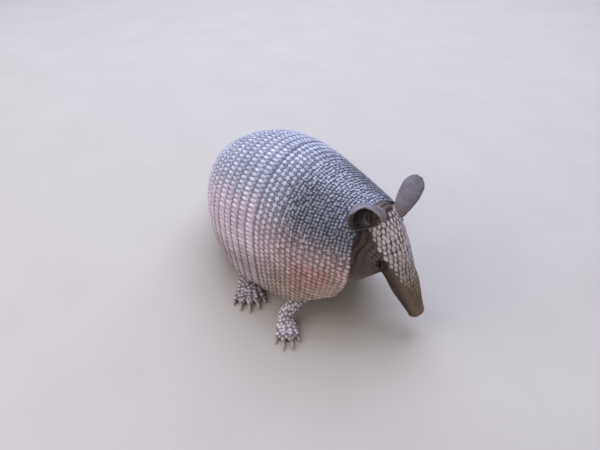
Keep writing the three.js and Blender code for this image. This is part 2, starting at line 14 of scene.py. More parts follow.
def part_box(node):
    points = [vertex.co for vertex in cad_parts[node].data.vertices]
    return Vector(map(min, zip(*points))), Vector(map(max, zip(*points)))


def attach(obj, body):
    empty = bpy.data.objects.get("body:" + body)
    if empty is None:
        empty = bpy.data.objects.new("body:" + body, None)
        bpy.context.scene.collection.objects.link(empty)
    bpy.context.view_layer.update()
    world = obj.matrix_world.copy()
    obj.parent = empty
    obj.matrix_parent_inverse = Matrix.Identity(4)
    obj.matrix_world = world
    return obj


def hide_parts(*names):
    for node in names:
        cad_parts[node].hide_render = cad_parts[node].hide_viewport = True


bl_info = {
    "name": "Armadillo",
    "version": (1, 0, 0),
    "blender": (4, 5, 0),
    "location": "3D View > Sidebar > Armadillo",
    "description": "Builds a life-size young armadillo with its skin, shell, claws, eyes, tail and hair",
    "category": "Add Mesh",
}

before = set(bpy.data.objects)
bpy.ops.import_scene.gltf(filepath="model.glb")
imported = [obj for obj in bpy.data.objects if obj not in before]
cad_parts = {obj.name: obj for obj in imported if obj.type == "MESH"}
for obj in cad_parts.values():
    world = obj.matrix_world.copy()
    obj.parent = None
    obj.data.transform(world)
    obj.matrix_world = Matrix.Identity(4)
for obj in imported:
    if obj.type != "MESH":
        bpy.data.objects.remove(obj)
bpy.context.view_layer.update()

MM = 0.001  # all sizes below are in millimetres, in the pose in which the animal was measured

# ------------------------------------------------------------------ the body's measurements
SHIELD_LENGTH = 64.0
BAND_COUNT = 9
BANDS_LENGTH = 57.0
PELVIC_LENGTH = 71.0
SHELL_END = SHIELD_LENGTH + BANDS_LENGTH + PELVIC_LENGTH
CREST = 0.62  # share of each half of the shell that arches over; the rest is flank
TUCK = 0.92  # width at the rim as a share of the full width
LOBE_REACH = 9.0  # how far the sides of the shoulder shield reach ahead of its middle
HALF_GIRTH = 120.0  # about half the way round the shell: a length across it over this is a share of v
SHIELD_REAR = (1.0, 349.5)  # spine at the rear of the shoulder shield

SHELL = {  # distance behind the nape, and there: half width, heights of back, widest point and rim, lean
    "s": (-22, 0, 32, 64, 92, 121, 150, 175, 192),
    "half": (34, 42, 51, 54, 54, 50, 43, 34, 25),
    "top": (89, 97, 109, 121, 121, 111, 95, 78, 64),
    "wide": (58, 60, 60, 61, 57, 51, 49, 47, 46),
    "rim": (54, 36, 18, 15, 16, 17, 22, 29, 35),
    "lean": (3, 3, 1, -1, -3, -1, -1, -5, -9),
}
SPINE = {"s": (-22, 0, 64, 92, 121, 192), "turn": (56, 50, 49, 38, 19, 16)}
BELLY = {"s": (-4, 14, 36, 64, 121, 150, 175, 188), "low": (36, 25, 18.5, 17, 17, 19, 25, 32)}
HEAD = {  # distance from between the ears, and there: half width, depth above and below the axis
    "t": (-7, -3, 4, 14, 25, 36, 48, 60, 71, 79, 82.5, 84),
    "half": (7, 11.5, 14.5, 16.2, 16.2, 14.8, 12.4, 11.2, 9, 7.4, 6.9, 5.2),
    "above": (6, 10, 12.5, 13.8, 13.4, 12.2, 11, 10.2, 8.2, 6.8, 6.4, 5),
    "below": (8, 12, 14.5, 15.5, 15, 13.4, 11.8, 10.6, 8, 5.8, 5.2, 4),
}
HEAD_TOP = np.array((54.6, 308.3, 90.0))
HEAD_TURN = math.radians(49.5)
HEAD_DROP = math.radians(59.5)
FACE_FROM, FACE_TO = 1.0, 53.0
FACE_REACH = (98.0, 58.0)  # half angle of the face shield at the forehead and on the snout, degrees
EYE_STATION, EYE_ANGLE, EYE_RADIUS = 35.0, math.radians(92), 3.1
MOUTH_ANGLE = math.radians(124)
NOSTRIL_STATION, NOSTRIL_ASIDE = 84.0, 2.9
SIDES = {"right": -1, "left": 1}

EAR_LENGTH = 28.83
EARS = {
    "right": {"t": 4.0, "angle": -42, "lift": 0.0, "axis": (-18, -9, 9), "open": (-0.64, -0.74, 0.38),
              "width": 18.5, "curl": 165.0, "unroll": 0.6},
    "left": {"t": 6.0, "angle": 47, "lift": 1.2, "axis": (11.5, 9.5, 21), "open": (0.6, 0.8, -0.2),
             "width": 16.5, "curl": 55.0, "unroll": 0.45},
}
FORE = {"length": 33.0, "width": 17.0, "height": 9.0, "toe": 9.0, "claw": 9.0, "toes": (
    (-0.62, -17, 0.62, 2.5), (-0.22, -5, 1.0, 3.0), (0.22, 5, 0.97, 3.0), (0.62, 17, 0.6, 2.4))}
HIND = {"length": 50.0, "width": 21.0, "height": 11.0, "toe": 10.0, "claw": 8.0, "toes": (
    (-0.76, -20, 0.5, 2.5), (-0.4, -9, 0.85, 3.1), (0.0, 0, 1.0, 3.3), (0.4, 9, 0.85, 3.1),
    (0.76, 20, 0.5, 2.5))}
LIMBS = {  # kind of foot, tip of its longest claw, heading, ankle share, height and radius, leg stations
    "fore_right": (FORE, (-8.5, 259), 4, (0.12, 8.6, 5.6),
                   ((15, 323, 48, 13), (8, 311.5, 27, 9.5), (0.5, 301, 14.5, 6.6))),
    "fore_left": (FORE, (52, 340), 40, (0.12, 8.6, 5.6),
                  ((26, 346, 48, 13), (24, 358, 30, 9.5), (26, 364, 18, 6.6))),
    "hind_right": (HIND, (-39.5, 298), 6, (0.22, 16, 8),
                   ((-54, 398, 46, 16), (-50, 372, 34, 15), (-46, 352, 24, 11))),
    "hind_left": (HIND, (18, 372), 28, (0.22, 16, 8),
                  ((-26, 430, 46, 15), (-12, 416, 36, 12), (-6, 412, 24, 9))),
}
TAIL_ROUTE = ((-52, 458, 48), (-55, 472, 43), (-61, 488, 29), (-68, 507, 16), (-72, 532, 10.6),
              (-64, 557, 8), (-46, 576, 6.2), (-22, 585, 4.6), (1, 584, 3.2), (20, 574, 2.2))
TAIL_RADII = {"u": (0, 0.12, 0.3, 0.5, 0.75, 1), "radius": (14, 13.4, 11.4, 8.6, 5.4, 2.2)}

CAMERA_HEIGHT = 300.0  # of the eye that looks at the animal, level with the pose's origin
CAMERA_PITCH = math.radians(35.65)
CAMERA_LENS = 31.62

SKIN_TRIANGLES = 190000
UNDER_SHELL = -3.75  # of the trunk's skin from the outside of the shell
PLATE_SUNK = -0.72  # of a shield's wall under the outside of the shell
PATCH = 0.0015  # half the width on OFBake of the patch that one small shape takes
TOE_PITCH, FOOT_PITCH, LEG_PITCH = 2.95, 3.15, 2.9  # of the small scutes in their rows
SCUTE_SPACING = 2.45  # least distance between two small scutes of full size
BRISTLE_SPACING = 3.4


# ------------------------------------------------------------------ curves and surfaces
def smooth(table, key, field, x):
    """Smooth value of a column at x, through every row of the table."""
    xs, ys = np.array(table[key], float), np.array(table[field], float)
    x = np.asarray(x, float)
    k = np.arange(len(xs))
    low, high = np.maximum(k - 1, 0), np.minimum(k + 1, len(xs) - 1)
    slope = (ys[high] - ys[low]) / (xs[high] - xs[low])
    i = np.clip(np.searchsorted(xs, x, side="left") - 1, 0, len(xs) - 2)
    span = xs[i + 1] - xs[i]
    u = np.clip((x - xs[i]) / span, 0, 1)
    ease = u * u * (3 - 2 * u)
    return (ys[i] * (1 - ease) + ys[i + 1] * ease
            + span * u * (1 - u) * ((1 - u) * slope[i] - u * slope[i + 1]))


def ramp(x, start, end):
    """0 before start, 1 after end, eased between them; start may be the larger."""
    u = np.clip((np.asarray(x, float) - start) / (end - start), 0, 1)
    return u * u * (3 - 2 * u)


def alike(*values):
    """Numbers or arrays brought to float arrays of one shape."""
    return np.broadcast_arrays(*(np.asarray(value, float) for value in values))


def columns(*parts):
    """Numbers or arrays side by side, as the last axis of one array."""
    return np.stack(alike(*parts), -1)


def unit(vectors):
    vectors = np.asarray(vectors, float)
    return vectors / np.maximum(np.linalg.norm(vectors, axis=-1, keepdims=True), 1e-12)


def run_along(points):
    """Length along a line of points, from 0 at the first to each."""
    return np.concatenate([[0.0], np.cumsum(np.linalg.norm(np.diff(points, axis=0), axis=1))])


def spine_table():
    s = np.arange(-30.0, 205.0)
    turn = np.radians(np.interp(s[:-1] + 0.5, SPINE["s"], SPINE["turn"]))
    x = np.concatenate([[0.0], np.cumsum(-np.sin(turn))])
    y = np.concatenate([[0.0], np.cumsum(np.cos(turn))])
    here = int(SHIELD_LENGTH - s[0])
    return s, x - x[here] + SHIELD_REAR[0], y - y[here] + SHIELD_REAR[1]


SPINE_S, SPINE_X, SPINE_Y = spine_table()
SPINE_LINE = columns(SPINE_X, SPINE_Y)


def shell_surface(s, v):
    """Outside of the shell; v runs from -1 at the right rim over the back to 1 at the left."""
    s, v = alike(s, v)
    half, top, wide, rim, lean = (smooth(SHELL, "s", k, s) for k in ("half", "top", "wide", "rim", "lean"))
    share = np.abs(v)
    arch = np.clip(share / CREST, 0, 1) * math.pi / 2
    full = math.acos(TUCK)
    flank = np.clip((share - CREST) / (1 - CREST), 0, 1) * full
    over = share <= CREST
    across = np.where(over, half * np.sin(arch), half * np.cos(flank)) * np.sign(v)
    z = np.where(over, wide + (top - wide) * np.cos(arch), wide + (rim - wide) * np.sin(flank) / math.sin(full))
    ahead = (z - wide) * np.tan(np.radians(lean))
    turn = np.radians(np.interp(s, SPINE["s"], SPINE["turn"]))
    x = np.interp(s, SPINE_S, SPINE_X) + across * np.cos(turn) + ahead * np.sin(turn)
    y = np.interp(s, SPINE_S, SPINE_Y) + across * np.sin(turn) - ahead * np.cos(turn)
    return columns(x, y, z)


def shell_point(s, v, lift):
    s, v, lift = alike(s, v, lift)
    v = np.clip(v, -1, 1)
    back = shell_surface(s + 1, v) - shell_surface(s - 1, v)
    over = shell_surface(s, np.minimum(v + 0.01, 1)) - shell_surface(s, np.maximum(v - 0.01, -1))
    return shell_surface(s, v) + unit(np.cross(over, back)) * lift[..., None]


def shield_front(v):
    share = np.abs(v)
    lobe = np.sin(np.clip(share / CREST, 0, 1) * math.pi / 2) ** 2
    flank = np.cos((share - CREST) / (1 - CREST) * math.pi / 2 * 0.9)
    return -LOBE_REACH * np.where(share < CREST, lobe, flank)


def band_edge(index):
    return SHIELD_LENGTH + BANDS_LENGTH * index / BAND_COUNT


HEAD_FORWARD = np.array((math.sin(HEAD_TURN) * math.cos(HEAD_DROP),
                         -math.cos(HEAD_TURN) * math.cos(HEAD_DROP), -math.sin(HEAD_DROP)))
HEAD_LEFT = np.array((math.cos(HEAD_TURN), math.sin(HEAD_TURN), 0.0))
HEAD_UP = unit(np.cross(HEAD_FORWARD, HEAD_LEFT))


def head_point(t, angle, lift):
    """Outside of the head; angle 0 is the crown line and grows towards the left side."""
    t, angle, lift = alike(t, angle, lift)
    half, above, below = (smooth(HEAD, "t", k, t) + lift for k in ("half", "above", "below"))
    depth = np.where(np.cos(angle) > 0, above, below)
    return (HEAD_TOP + HEAD_FORWARD * t[..., None] + HEAD_LEFT * (half * np.sin(angle))[..., None]
            + HEAD_UP * (depth * np.cos(angle))[..., None])


def face_reach(t):
    share = np.clip((t - FACE_FROM) / (FACE_TO - FACE_FROM), 0, 1)
    rounding = np.sin(np.radians(58 + 32 * np.clip(t / 12, 0, 1)))
    return np.radians(FACE_REACH[0] + (FACE_REACH[1] - FACE_REACH[0]) * share) * rounding


def tail_table():
    """Points of the tail's axis, evenly spaced, on a curve through the route's points."""
    route = np.array(TAIL_ROUTE, float)
    route = np.vstack([2 * route[0] - route[1], route, 2 * route[-1] - route[-2]])
    points = []
    for i in range(1, len(route) - 2):
        p = route[i - 1:i + 3]
        knots = np.concatenate([[0.0], np.cumsum(np.sqrt(np.linalg.norm(np.diff(p, axis=0), axis=1)))])
        t = np.linspace(knots[1], knots[2], 40, endpoint=False)[:, None]

        def mix(a, b, i0, i1):
            return (a * (knots[i1] - t) + b * (t - knots[i0])) / (knots[i1] - knots[i0])

        a1, a2, a3 = mix(p[0], p[1], 0, 1), mix(p[1], p[2], 1, 2), mix(p[2], p[3], 2, 3)
        points.append(mix(mix(a1, a2, 0, 2), mix(a2, a3, 1, 3), 1, 2))
    points = np.vstack(points + [route[-2][None]])
    return run_along(points), points


TAIL_S, TAIL_POINTS = tail_table()
TAIL_LENGTH = TAIL_S[-1]


def tail_point(s, v, lift):
    """Outside of the tail, s along it and v once round it, from -1 to 1 with 0 on top."""
    s, v, lift = alike(s, v, lift)

    def axis(at):
        return columns(*(np.interp(at, TAIL_S, line) for line in TAIL_POINTS.T))

    forward = unit(axis(np.minimum(s + 2, TAIL_LENGTH)) - axis(np.maximum(s - 2, 0)))
    side = unit(np.cross(forward, (0, 0, 1)))
    up = np.cross(side, forward)
    radius = smooth(TAIL_RADII, "u", "radius", s / TAIL_LENGTH) + lift
    angle = v * math.pi
    point = axis(s) + side * (radius * np.sin(angle))[..., None] + up * (radius * np.cos(angle))[..., None]
    point[..., 2] = np.maximum(point[..., 2], 0.05)
    return point


# The pose is carried into the frame of the solids by the place of one eye.
eye_low, eye_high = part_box("eye_right")
EYE_PLACE = {side: head_point(EYE_STATION, sign * EYE_ANGLE, -0.45 * EYE_RADIUS)
             for side, sign in SIDES.items()}
SHIFT = np.array((eye_low + eye_high) / 2) - EYE_PLACE["right"] * MM


# ------------------------------------------------------------------ colours
def linear(text):
    """Linear colour of an sRGB hex value."""
    parts = [int(text[i:i + 2], 16) / 255 for i in (1, 3, 5)]
    return tuple(c / 12.92 if c <= 0.04045 else ((c + 0.055) / 1.055) ** 2.4 for c in parts)


def blend(first, second, share):
    """Colours part of the way from the first to the second, one for each share."""
    share = np.asarray(share, float)[..., None]
    return np.asarray(first, float) * (1 - share) + np.asarray(second, float) * share


def toned(tone, factor):
    """A colour times a factor, or times one for each channel or each place."""
    return np.asarray(tone) * factor


def colour(name, text, description):
    return FloatVectorProperty(name=name, description=description, subtype="COLOR", size=3, min=0, max=1,
                               default=linear(text))


def size(name, default, description, low=0.0):
    return FloatProperty(name=name, description=description + ", in millimetres", default=default, min=low)


class ArmadilloShellSettings(bpy.types.PropertyGroup):
    """Sizes and colours of the shell"""

    wall: size("Wall", 2.0, "Thickness of the plates under their scutes", 0.5)
    rear_pitch: size("Rear scute length", 5.0, "Length of the shield scutes next to the bands", 1)
    front_pitch: size("Front scute length", 3.6, "Length of the shield scutes at the nape", 1)
    fine_pitch: size("Fine scute size", 2.4, "Spacing of the fine scutes on the shoulder", 1)
    band_pitch: size("Band scute width", 3.8, "Width of one scute of a band", 1)
    dome: size("Scute height", 0.75, "Height of the largest scutes over the grooves", 0.1)
    back: colour("Back", "#b2b4c3", "Horn of the scutes along the back")
    # partly the horn's own dark tone and partly painted shade, where the shield turns from the overhead light
    shoulder: colour("Shoulder", "#70717b", "Horn of the small scutes on the shoulder")
    flank: colour("Flank", "#c9b9c4", "Horn of the scutes on the upper flank")
    rim: colour("Rim", "#a38e83", "Horn of the scutes towards the rim")
    blush: colour("Blush", "#ad7a72", "Pink skin that shows through behind the foreleg")
    depth: FloatProperty(name="Groove tone", description="Brightness of the grooves as a share of the scutes'",
                         default=0.58, min=0, max=1, subtype="FACTOR")
    groove: colour("Groove", "#5f5856", "Skin in the grooves of the face and tail")


class ArmadilloSkinSettings(bpy.types.PropertyGroup):
    """Sizes and colours of the skin"""

    voxel: size("Mesh size", 0.8, "Edge length of the skin's mesh", 0.4)
    smoothing: IntProperty(name="Smoothing", description="Rounds of smoothing over the joined skin",
                           default=12, min=0, max=60)
    inset: size("Inset", 0.15, "How far the skin lies inside the solids")
    body: colour("Body", "#675953", "Bare skin of the neck, belly and legs")
    belly: colour("Belly", "#a38b7d", "Paler skin under the body")
    snout: colour("Snout", "#7c6757", "Bare skin of the snout")
    # partly darker skin and partly painted shade on the sides of the snout, which turn from the light
    snout_side_dark_and_shaded: colour("Snout side", "#4b3c35", "Darker skin along the sides of the snout")
    ear: colour("Ear", "#878088", "Outside of the ears")
    ear_inside: colour("Ear inside", "#7d7170", "Inside of the ears")
    ear_root: colour("Ear root", "#8f7d79", "Pink skin at the root of the ears")
    foot: colour("Foot", "#8b7d7f", "Skin of the feet")


class ArmadilloFaceSettings(bpy.types.PropertyGroup):
    """Sizes and colours of the face shield"""

    pitch: size("Scute size", 4.5, "Spacing of the scutes on the forehead", 1)
    dome: size("Scute height", 0.6, "Height of the face scutes over their grooves", 0.1)
    crown: colour("Crown", "#c6b7b6", "Horn of the face scutes")
    muzzle: colour("Muzzle", "#a0918a", "Horn of the face scutes towards the snout")


class ArmadilloTailSettings(bpy.types.PropertyGroup):
    """Sizes and colours of the tail"""

    ring: size("Ring length", 11.5, "Length of an armour ring at the tail's root", 3)
    horn: colour("Horn", "#93857f", "Horn of the tail's scutes")


class ArmadilloClawSettings(bpy.types.PropertyGroup):
    """Colours of the claws and eyes"""

    tip: colour("Claw", "#b3a192", "Horn of the claws")
    root: colour("Claw root", "#8d7a72", "Horn of the claws where they leave the toes")
    eye: colour("Eye", "#0b0908", "Dark iris and pupil")
    hair: colour("Hair", "#d9cbb0", "Sparse bristles of the belly and legs")
    limb_scute: colour("Foot scute", "#cbbfc2", "Scattered scutes on the feet and legs")


# ------------------------------------------------------------------ making meshes
def add_node(nodes, kind, inputs=None, **settings):
    """Adds a node with its settings; an input given as a socket is linked, any other value is set."""
    node = nodes.new(kind)
    for key, value in settings.items():
        setattr(node, key, value)
    for key, value in (inputs or {}).items():
        if isinstance(value, bpy.types.NodeSocket):
            nodes.id_data.links.new(value, node.inputs[key])
        else:
            node.inputs[key].default_value = value
    return node


def linked(name, data):
    """A new object in the scene."""
    made = bpy.data.objects.new(name, data)
    bpy.context.scene.collection.objects.link(made)
    return made


def new_object(name, mesh, material, replaced=()):
    """A finished piece at the origin, riding on the body and standing for the solids that it replaces."""
    piece = linked(name, mesh)
    mesh.materials.clear()
    mesh.materials.append(material)
    mesh.polygons.foreach_set("use_smooth", np.ones(len(mesh.polygons), bool))
    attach(piece, "root")
    if replaced:
        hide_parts(*replaced)
    return piece


def mesh_from(bm, name):
    mesh = bpy.data.meshes.new(name)
    bm.to_mesh(mesh)
    bm.free()
    return mesh


def grid_onto(bm, columns, rows, place, weld=False):
    """A grid whose two directions, 0 to 1, are carried onto a surface by place, and its vertices."""
    made = bmesh.ops.create_grid(bm, x_segments=columns, y_segments=rows, size=0.5)["verts"]
    flat = np.array([vert.co[:] for vert in made]) + 0.5
    for vert, spot in zip(made, place(flat[:, 0], flat[:, 1])):
        vert.co = spot
    if weld:
        bmesh.ops.remove_doubles(bm, verts=made, dist=1e-4)
        made = [vert for vert in made if vert.is_valid]
        edges = list({edge for vert in made for edge in vert.link_edges if edge.is_boundary})
        bmesh.ops.holes_fill(bm, edges=edges, sides=0)
    return made


def outward(bm):
    bmesh.ops.recalc_face_normals(bm, faces=bm.faces[:])


def tube(bm, stations, sides=16):
    """A closed tube through stations of (centre, half width, half height), level across."""
    centres = np.array([station[0] for station in stations], float)
    loops = []
    for i, (centre, wide, high) in enumerate(stations):
        along = unit(centres[min(i + 1, len(centres) - 1)] - centres[max(i - 1, 0)])
        helper = (0, 1, 0) if abs(along[2]) > 0.9 else (0, 0, 1)
        side = unit(np.cross(along, helper))
        up = np.cross(side, along)
        turn = Matrix((side * wide, up * high, along)).transposed().to_4x4()
        made = bmesh.ops.create_circle(bm, cap_ends=i in (0, len(stations) - 1), radius=1, segments=sides,
                                       matrix=Matrix.Translation(Vector(centre)) @ turn)["verts"]
        loops.append([edge for edge in {e for v in made for e in v.link_edges}
                      if len(edge.link_faces) < 2 and all(v in made for v in edge.verts)])
    for first, second in zip(loops, loops[1:]):
        bmesh.ops.bridge_loops(bm, edges=first + second)


def finished(bm, name):
    """A mesh with its faces outward, brought from millimetres in the pose to metres in the solids' frame."""
    outward(bm)
    bmesh.ops.transform(bm, matrix=Matrix.Translation(Vector(SHIFT)) @ Matrix.Scale(MM, 4), verts=bm.verts[:])
    return mesh_from(bm, name)


def template_of(bm):
    """Corners and faces of a small shape that is set down many times."""
    outward(bm)
    spots = np.array([vert.co[:] for vert in bm.verts])
    faces = [[vert.index for vert in face.verts] for face in bm.faces]
    bm.free()
    return spots, faces


def dome_template(sides, levels):
    """A closed low dome of radius 1: its rim is sunk to -1 and its top is at 1."""
    bm = bmesh.new()
    rim = {"cap_ends": True, "radius": 1, "segments": sides, "matrix": Matrix.Translation((0, 0, -1))}
    bmesh.ops.create_circle(bm, **rim)
    faces = bm.faces[:]
    made = bmesh.ops.extrude_discrete_faces(bm, faces=faces)["faces"]
    for radius, height in levels:
        if height > -1:
            grown = bmesh.ops.extrude_face_region(bm, geom=made)["geom"]
            bmesh.ops.delete(bm, geom=made, context="FACES_ONLY")
            made = [item for item in grown if isinstance(item, bmesh.types.BMFace)]
        for vert in made[0].verts:
            reach = math.hypot(vert.co.x, vert.co.y)
            vert.co = Vector((vert.co.x / reach * radius, vert.co.y / reach * radius, height))
    bmesh.ops.poke(bm, faces=made, offset=0.06)
    bmesh.ops.create_circle(bm, **rim)
    bmesh.ops.remove_doubles(bm, verts=bm.verts[:], dist=1e-4)
    return template_of(bm)


def bead_template(sides):
    return dome_template(sides, ((1, -0.2), (0.93, 0.25), (0.68, 0.72), (0.3, 0.96)))


def frames_on(surface, s, v, lift):
    """Places on a surface with their own directions: across it, along it and outwards."""
    s, v = alike(s, v)
    centre = surface(s, v, lift)
    across = surface(s, v + 0.006, lift) - surface(s, v - 0.006, lift)
    along = surface(s + 0.6, v, lift) - surface(s - 0.6, v, lift)
    normal = unit(np.cross(across, along))
    outside = np.sum(normal * (surface(s, v, lift + 1.0) - centre), -1, keepdims=True)
    normal = normal * np.where(outside < 0, -1, 1)
    across = unit(across)
    along = unit(along - normal * np.sum(along * normal, -1, keepdims=True))
    along = unit(along - across * np.sum(along * across, -1, keepdims=True) * 0.5)
    return centre, np.stack([across, along, normal], -2)


def stretch(s, v):
    """Length of the shell along one step of s, which is less on the inside of the body's bend."""
    return np.linalg.norm(shell_surface(s + 0.5, v) - shell_surface(s - 0.5, v), axis=-1)


def lay_row(line, count, row):
    """Values of v for scutes spread evenly along one row, staggered with the next, and their spacing."""
    v = np.linspace(-1, 1, 301)
    length = run_along(line(v))
    share = (np.arange(count) + (0.5 if row % 2 else 1.0)) / count
    share = share[share < 1 - 0.3 / count]
    return np.interp(share * length[-1], length, v), length[-1] / count


class Scatter:
    """Many small closed shapes gathered into one mesh, with the colour of each and a place on OFBake."""

    def __init__(self, template):
        self.spots, self.faces = template
        self.centres, self.axes, self.tints, self.places = [], [], [], []

    def add(self, centres, axes, sizes, tints, places, kept=slice(None)):
        sizes, tints = (np.broadcast_to(part, (len(centres), 3)) for part in (sizes, tints))
        self.centres.append(centres[kept])
        self.axes.append((axes * sizes[:, :, None])[kept])
        self.tints.append(tints[kept])
        self.places.append(places[kept])

    def lay(self, surface, s, v, lift, sizes, tints, places, shown=None):
        """Adds shapes at places of a surface, in its directions there, where they are shown."""
        centres, axes = frames_on(surface, s, v, lift)
        self.add(centres, axes, sizes, tints, places, shown(centres) if shown else slice(None))

    def build(self, name, material, slot, worn_and_lit=1.18, sunk=0.5, rearward=0.0):
        """One mesh of them all, darker at their edges by sunk, as painted shade in the grooves, paler on top by
        worn_and_lit, partly rubbed and partly a painted highlight, and brighter by rearward towards their rear.
        """
        centres, axes = np.vstack(self.centres), np.vstack(self.axes)
        tints, places = np.vstack(self.tints), np.vstack(self.places)
        count, corners = len(centres), len(self.spots)
        spots = centres[:, None] + np.einsum("kj,nji->nki", self.spots, axes)
        spots[..., 2] = np.maximum(spots[..., 2], 0.0)
        sizes = [len(face) for face in self.faces]
        corner_index = np.array([i for face in self.faces for i in face])
        mesh = bpy.data.meshes.new(name)
        mesh.vertices.add(count * corners)
        mesh.vertices.foreach_set("co", (spots.reshape(-1, 3) * MM + SHIFT).ravel())
        mesh.loops.add(count * len(corner_index))
        loops = (corner_index[None] + np.arange(count)[:, None] * corners).ravel()
        mesh.loops.foreach_set("vertex_index", loops.astype(np.int32))
        mesh.polygons.add(count * len(sizes))
        starts = np.concatenate([[0], np.cumsum(np.tile(sizes, count))[:-1]])
        mesh.polygons.foreach_set("loop_start", starts.astype(np.int32))
        mesh.update(calc_edges=True)
        mesh.validate()
        # painted shade at the edge of each shape, where it sinks into the grooves, and a top paler from rubbing and
        # from a painted highlight
        shade_and_wear = sunk + (worn_and_lit - sunk) * np.clip((self.spots[:, 2] + 0.2) / 1.1, 0, 1)
        shade_and_wear = shade_and_wear * (1 + rearward * self.spots[:, 1])
        paint(mesh, np.clip(tints[:, None] * shade_and_wear[None, :, None], 0, 1).reshape(-1, 3))
        layer = mesh.uv_layers.new(name="OFBake")
        patch = places[:, None] + self.spots[None, :, :2] * PATCH
        layer.data.foreach_set("uv", patch.reshape(-1, 2)[loops].ravel())
        return new_object(name, mesh, material)


def paint(mesh, colours):
    """Stores one colour for each vertex as the attribute that the materials read."""
    layer = mesh.color_attributes.new("tint", "FLOAT_COLOR", "POINT")
    layer.data.foreach_set("color", np.hstack([colours, np.ones((len(colours), 1))]).ravel())


def vertex_values(mesh, field):
    values = np.empty(len(mesh.vertices) * 3)
    mesh.vertices.foreach_get(field, values)
    return values.reshape(-1, 3)


def positions(mesh):
    """Vertices of a mesh in millimetres in the pose."""
    return (vertex_values(mesh, "co") - SHIFT) / MM


def normals(mesh):
    return vertex_values(mesh, "normal")


def move(mesh, spots):
    mesh.vertices.foreach_set("co", (spots * MM + SHIFT).ravel())
    mesh.update()


@contextmanager
def edited(mesh):
    """A bmesh of the mesh, written back when the work on it is done."""
    bm = bmesh.new()
    bm.from_mesh(mesh)
    bm.verts.ensure_lookup_table()
    yield bm
    bm.to_mesh(mesh)
    bm.free()
    mesh.update()


def with_modifier(source, kind, **settings):
    """The mesh of an object after one modifier; the object itself is removed."""
    modifier = source.modifiers.new(kind, kind)
    for key, value in settings.items():
        setattr(modifier, key, value)
    made = bpy.data.meshes.new_from_object(source.evaluated_get(bpy.context.evaluated_depsgraph_get()))
    bpy.data.objects.remove(source)
    return made


def tree_of(spots):
    tree = KDTree(len(spots))
    for i, spot in enumerate(spots):
        tree.insert(spot, i)
    tree.balance()
    return tree


def plate_mesh(name, columns, rows, place, wall):
    """A curved plate with rounded edges: place gives its outside from two shares and a drop at its edges."""
    bm = bmesh.new()

    def rounded(u, w):
        edge = np.minimum(np.minimum(u, 1 - u) * rows, np.minimum(w, 1 - w) * columns)
        return place(u, w, -0.45 * np.clip(1 - edge, 0, 1))

    grid_onto(bm, rows, columns, rounded)
    outward(bm)
    bm.faces.ensure_lookup_table()
    middle = bm.faces[len(bm.faces) // 2]
    centre = np.array(middle.calc_center_median())
    inside = np.array(place(np.array([0.5]), np.array([0.5]), np.array([-5.0])))[0]
    if np.dot(np.array(middle.normal), inside - centre) > 0:
        bmesh.ops.reverse_faces(bm, faces=bm.faces[:])
    bmesh.ops.solidify(bm, geom=bm.faces[:], thickness=wall)
    return finished(bm, name)


# ------------------------------------------------------------------ materials
def new_material(name):
    material = bpy.data.materials.new(name)
    material.use_nodes = True
    nodes = material.node_tree.nodes
    nodes.clear()
    return material, nodes


def keratin(name, grain, relief, roughness, mottle=0.3):
    """Horn over bone, dry and slightly rubbed: tinted scute by scute, cloudy inside, finely pitted outside."""
    material, nodes = new_material(name)
    place = add_node(nodes, "ShaderNodeTexCoord").outputs["Object"]
    tint = add_node(nodes, "ShaderNodeAttribute", attribute_name="tint").outputs["Color"]
    # clouding a few grains wide, as pigment and dried soil lie on the horn
    cloud = add_node(nodes, "ShaderNodeTexNoise", {"Vector": place, "Scale": 0.35 / (grain * MM), "Detail": 4.0,
                                                   "Roughness": 0.6}).outputs["Fac"]
    shade = add_node(nodes, "ShaderNodeMapRange", {"Value": cloud, "From Min": 0.3, "From Max": 0.7,
                                                   "To Min": 1 - mottle, "To Max": 1 + mottle}).outputs["Result"]
    shaded = add_node(nodes, "ShaderNodeVectorMath", {0: tint, "Scale": shade}, operation="SCALE").outputs[0]
    pits = add_node(nodes, "ShaderNodeTexNoise", {"Vector": place, "Scale": 1 / (grain * MM), "Detail": 5.0,
                                                  "Roughness": 0.7}).outputs["Fac"]
    bump = add_node(nodes, "ShaderNodeBump", {"Height": pits, "Strength": 0.6, "Distance": relief * MM})
    polish = add_node(nodes, "ShaderNodeMapRange", {"Value": pits, "From Min": 0.3, "From Max": 0.7,
                                                    "To Min": roughness - 0.08, "To Max": roughness + 0.12})
    shader = add_node(nodes, "ShaderNodeBsdfPrincipled", {"Base Color": shaded, "IOR": 1.54,
                                                          "Roughness": polish.outputs["Result"],
                                                          "Normal": bump.outputs["Normal"]})
    add_node(nodes, "ShaderNodeOutputMaterial", {"Surface": shader.outputs["BSDF"]})
    return material


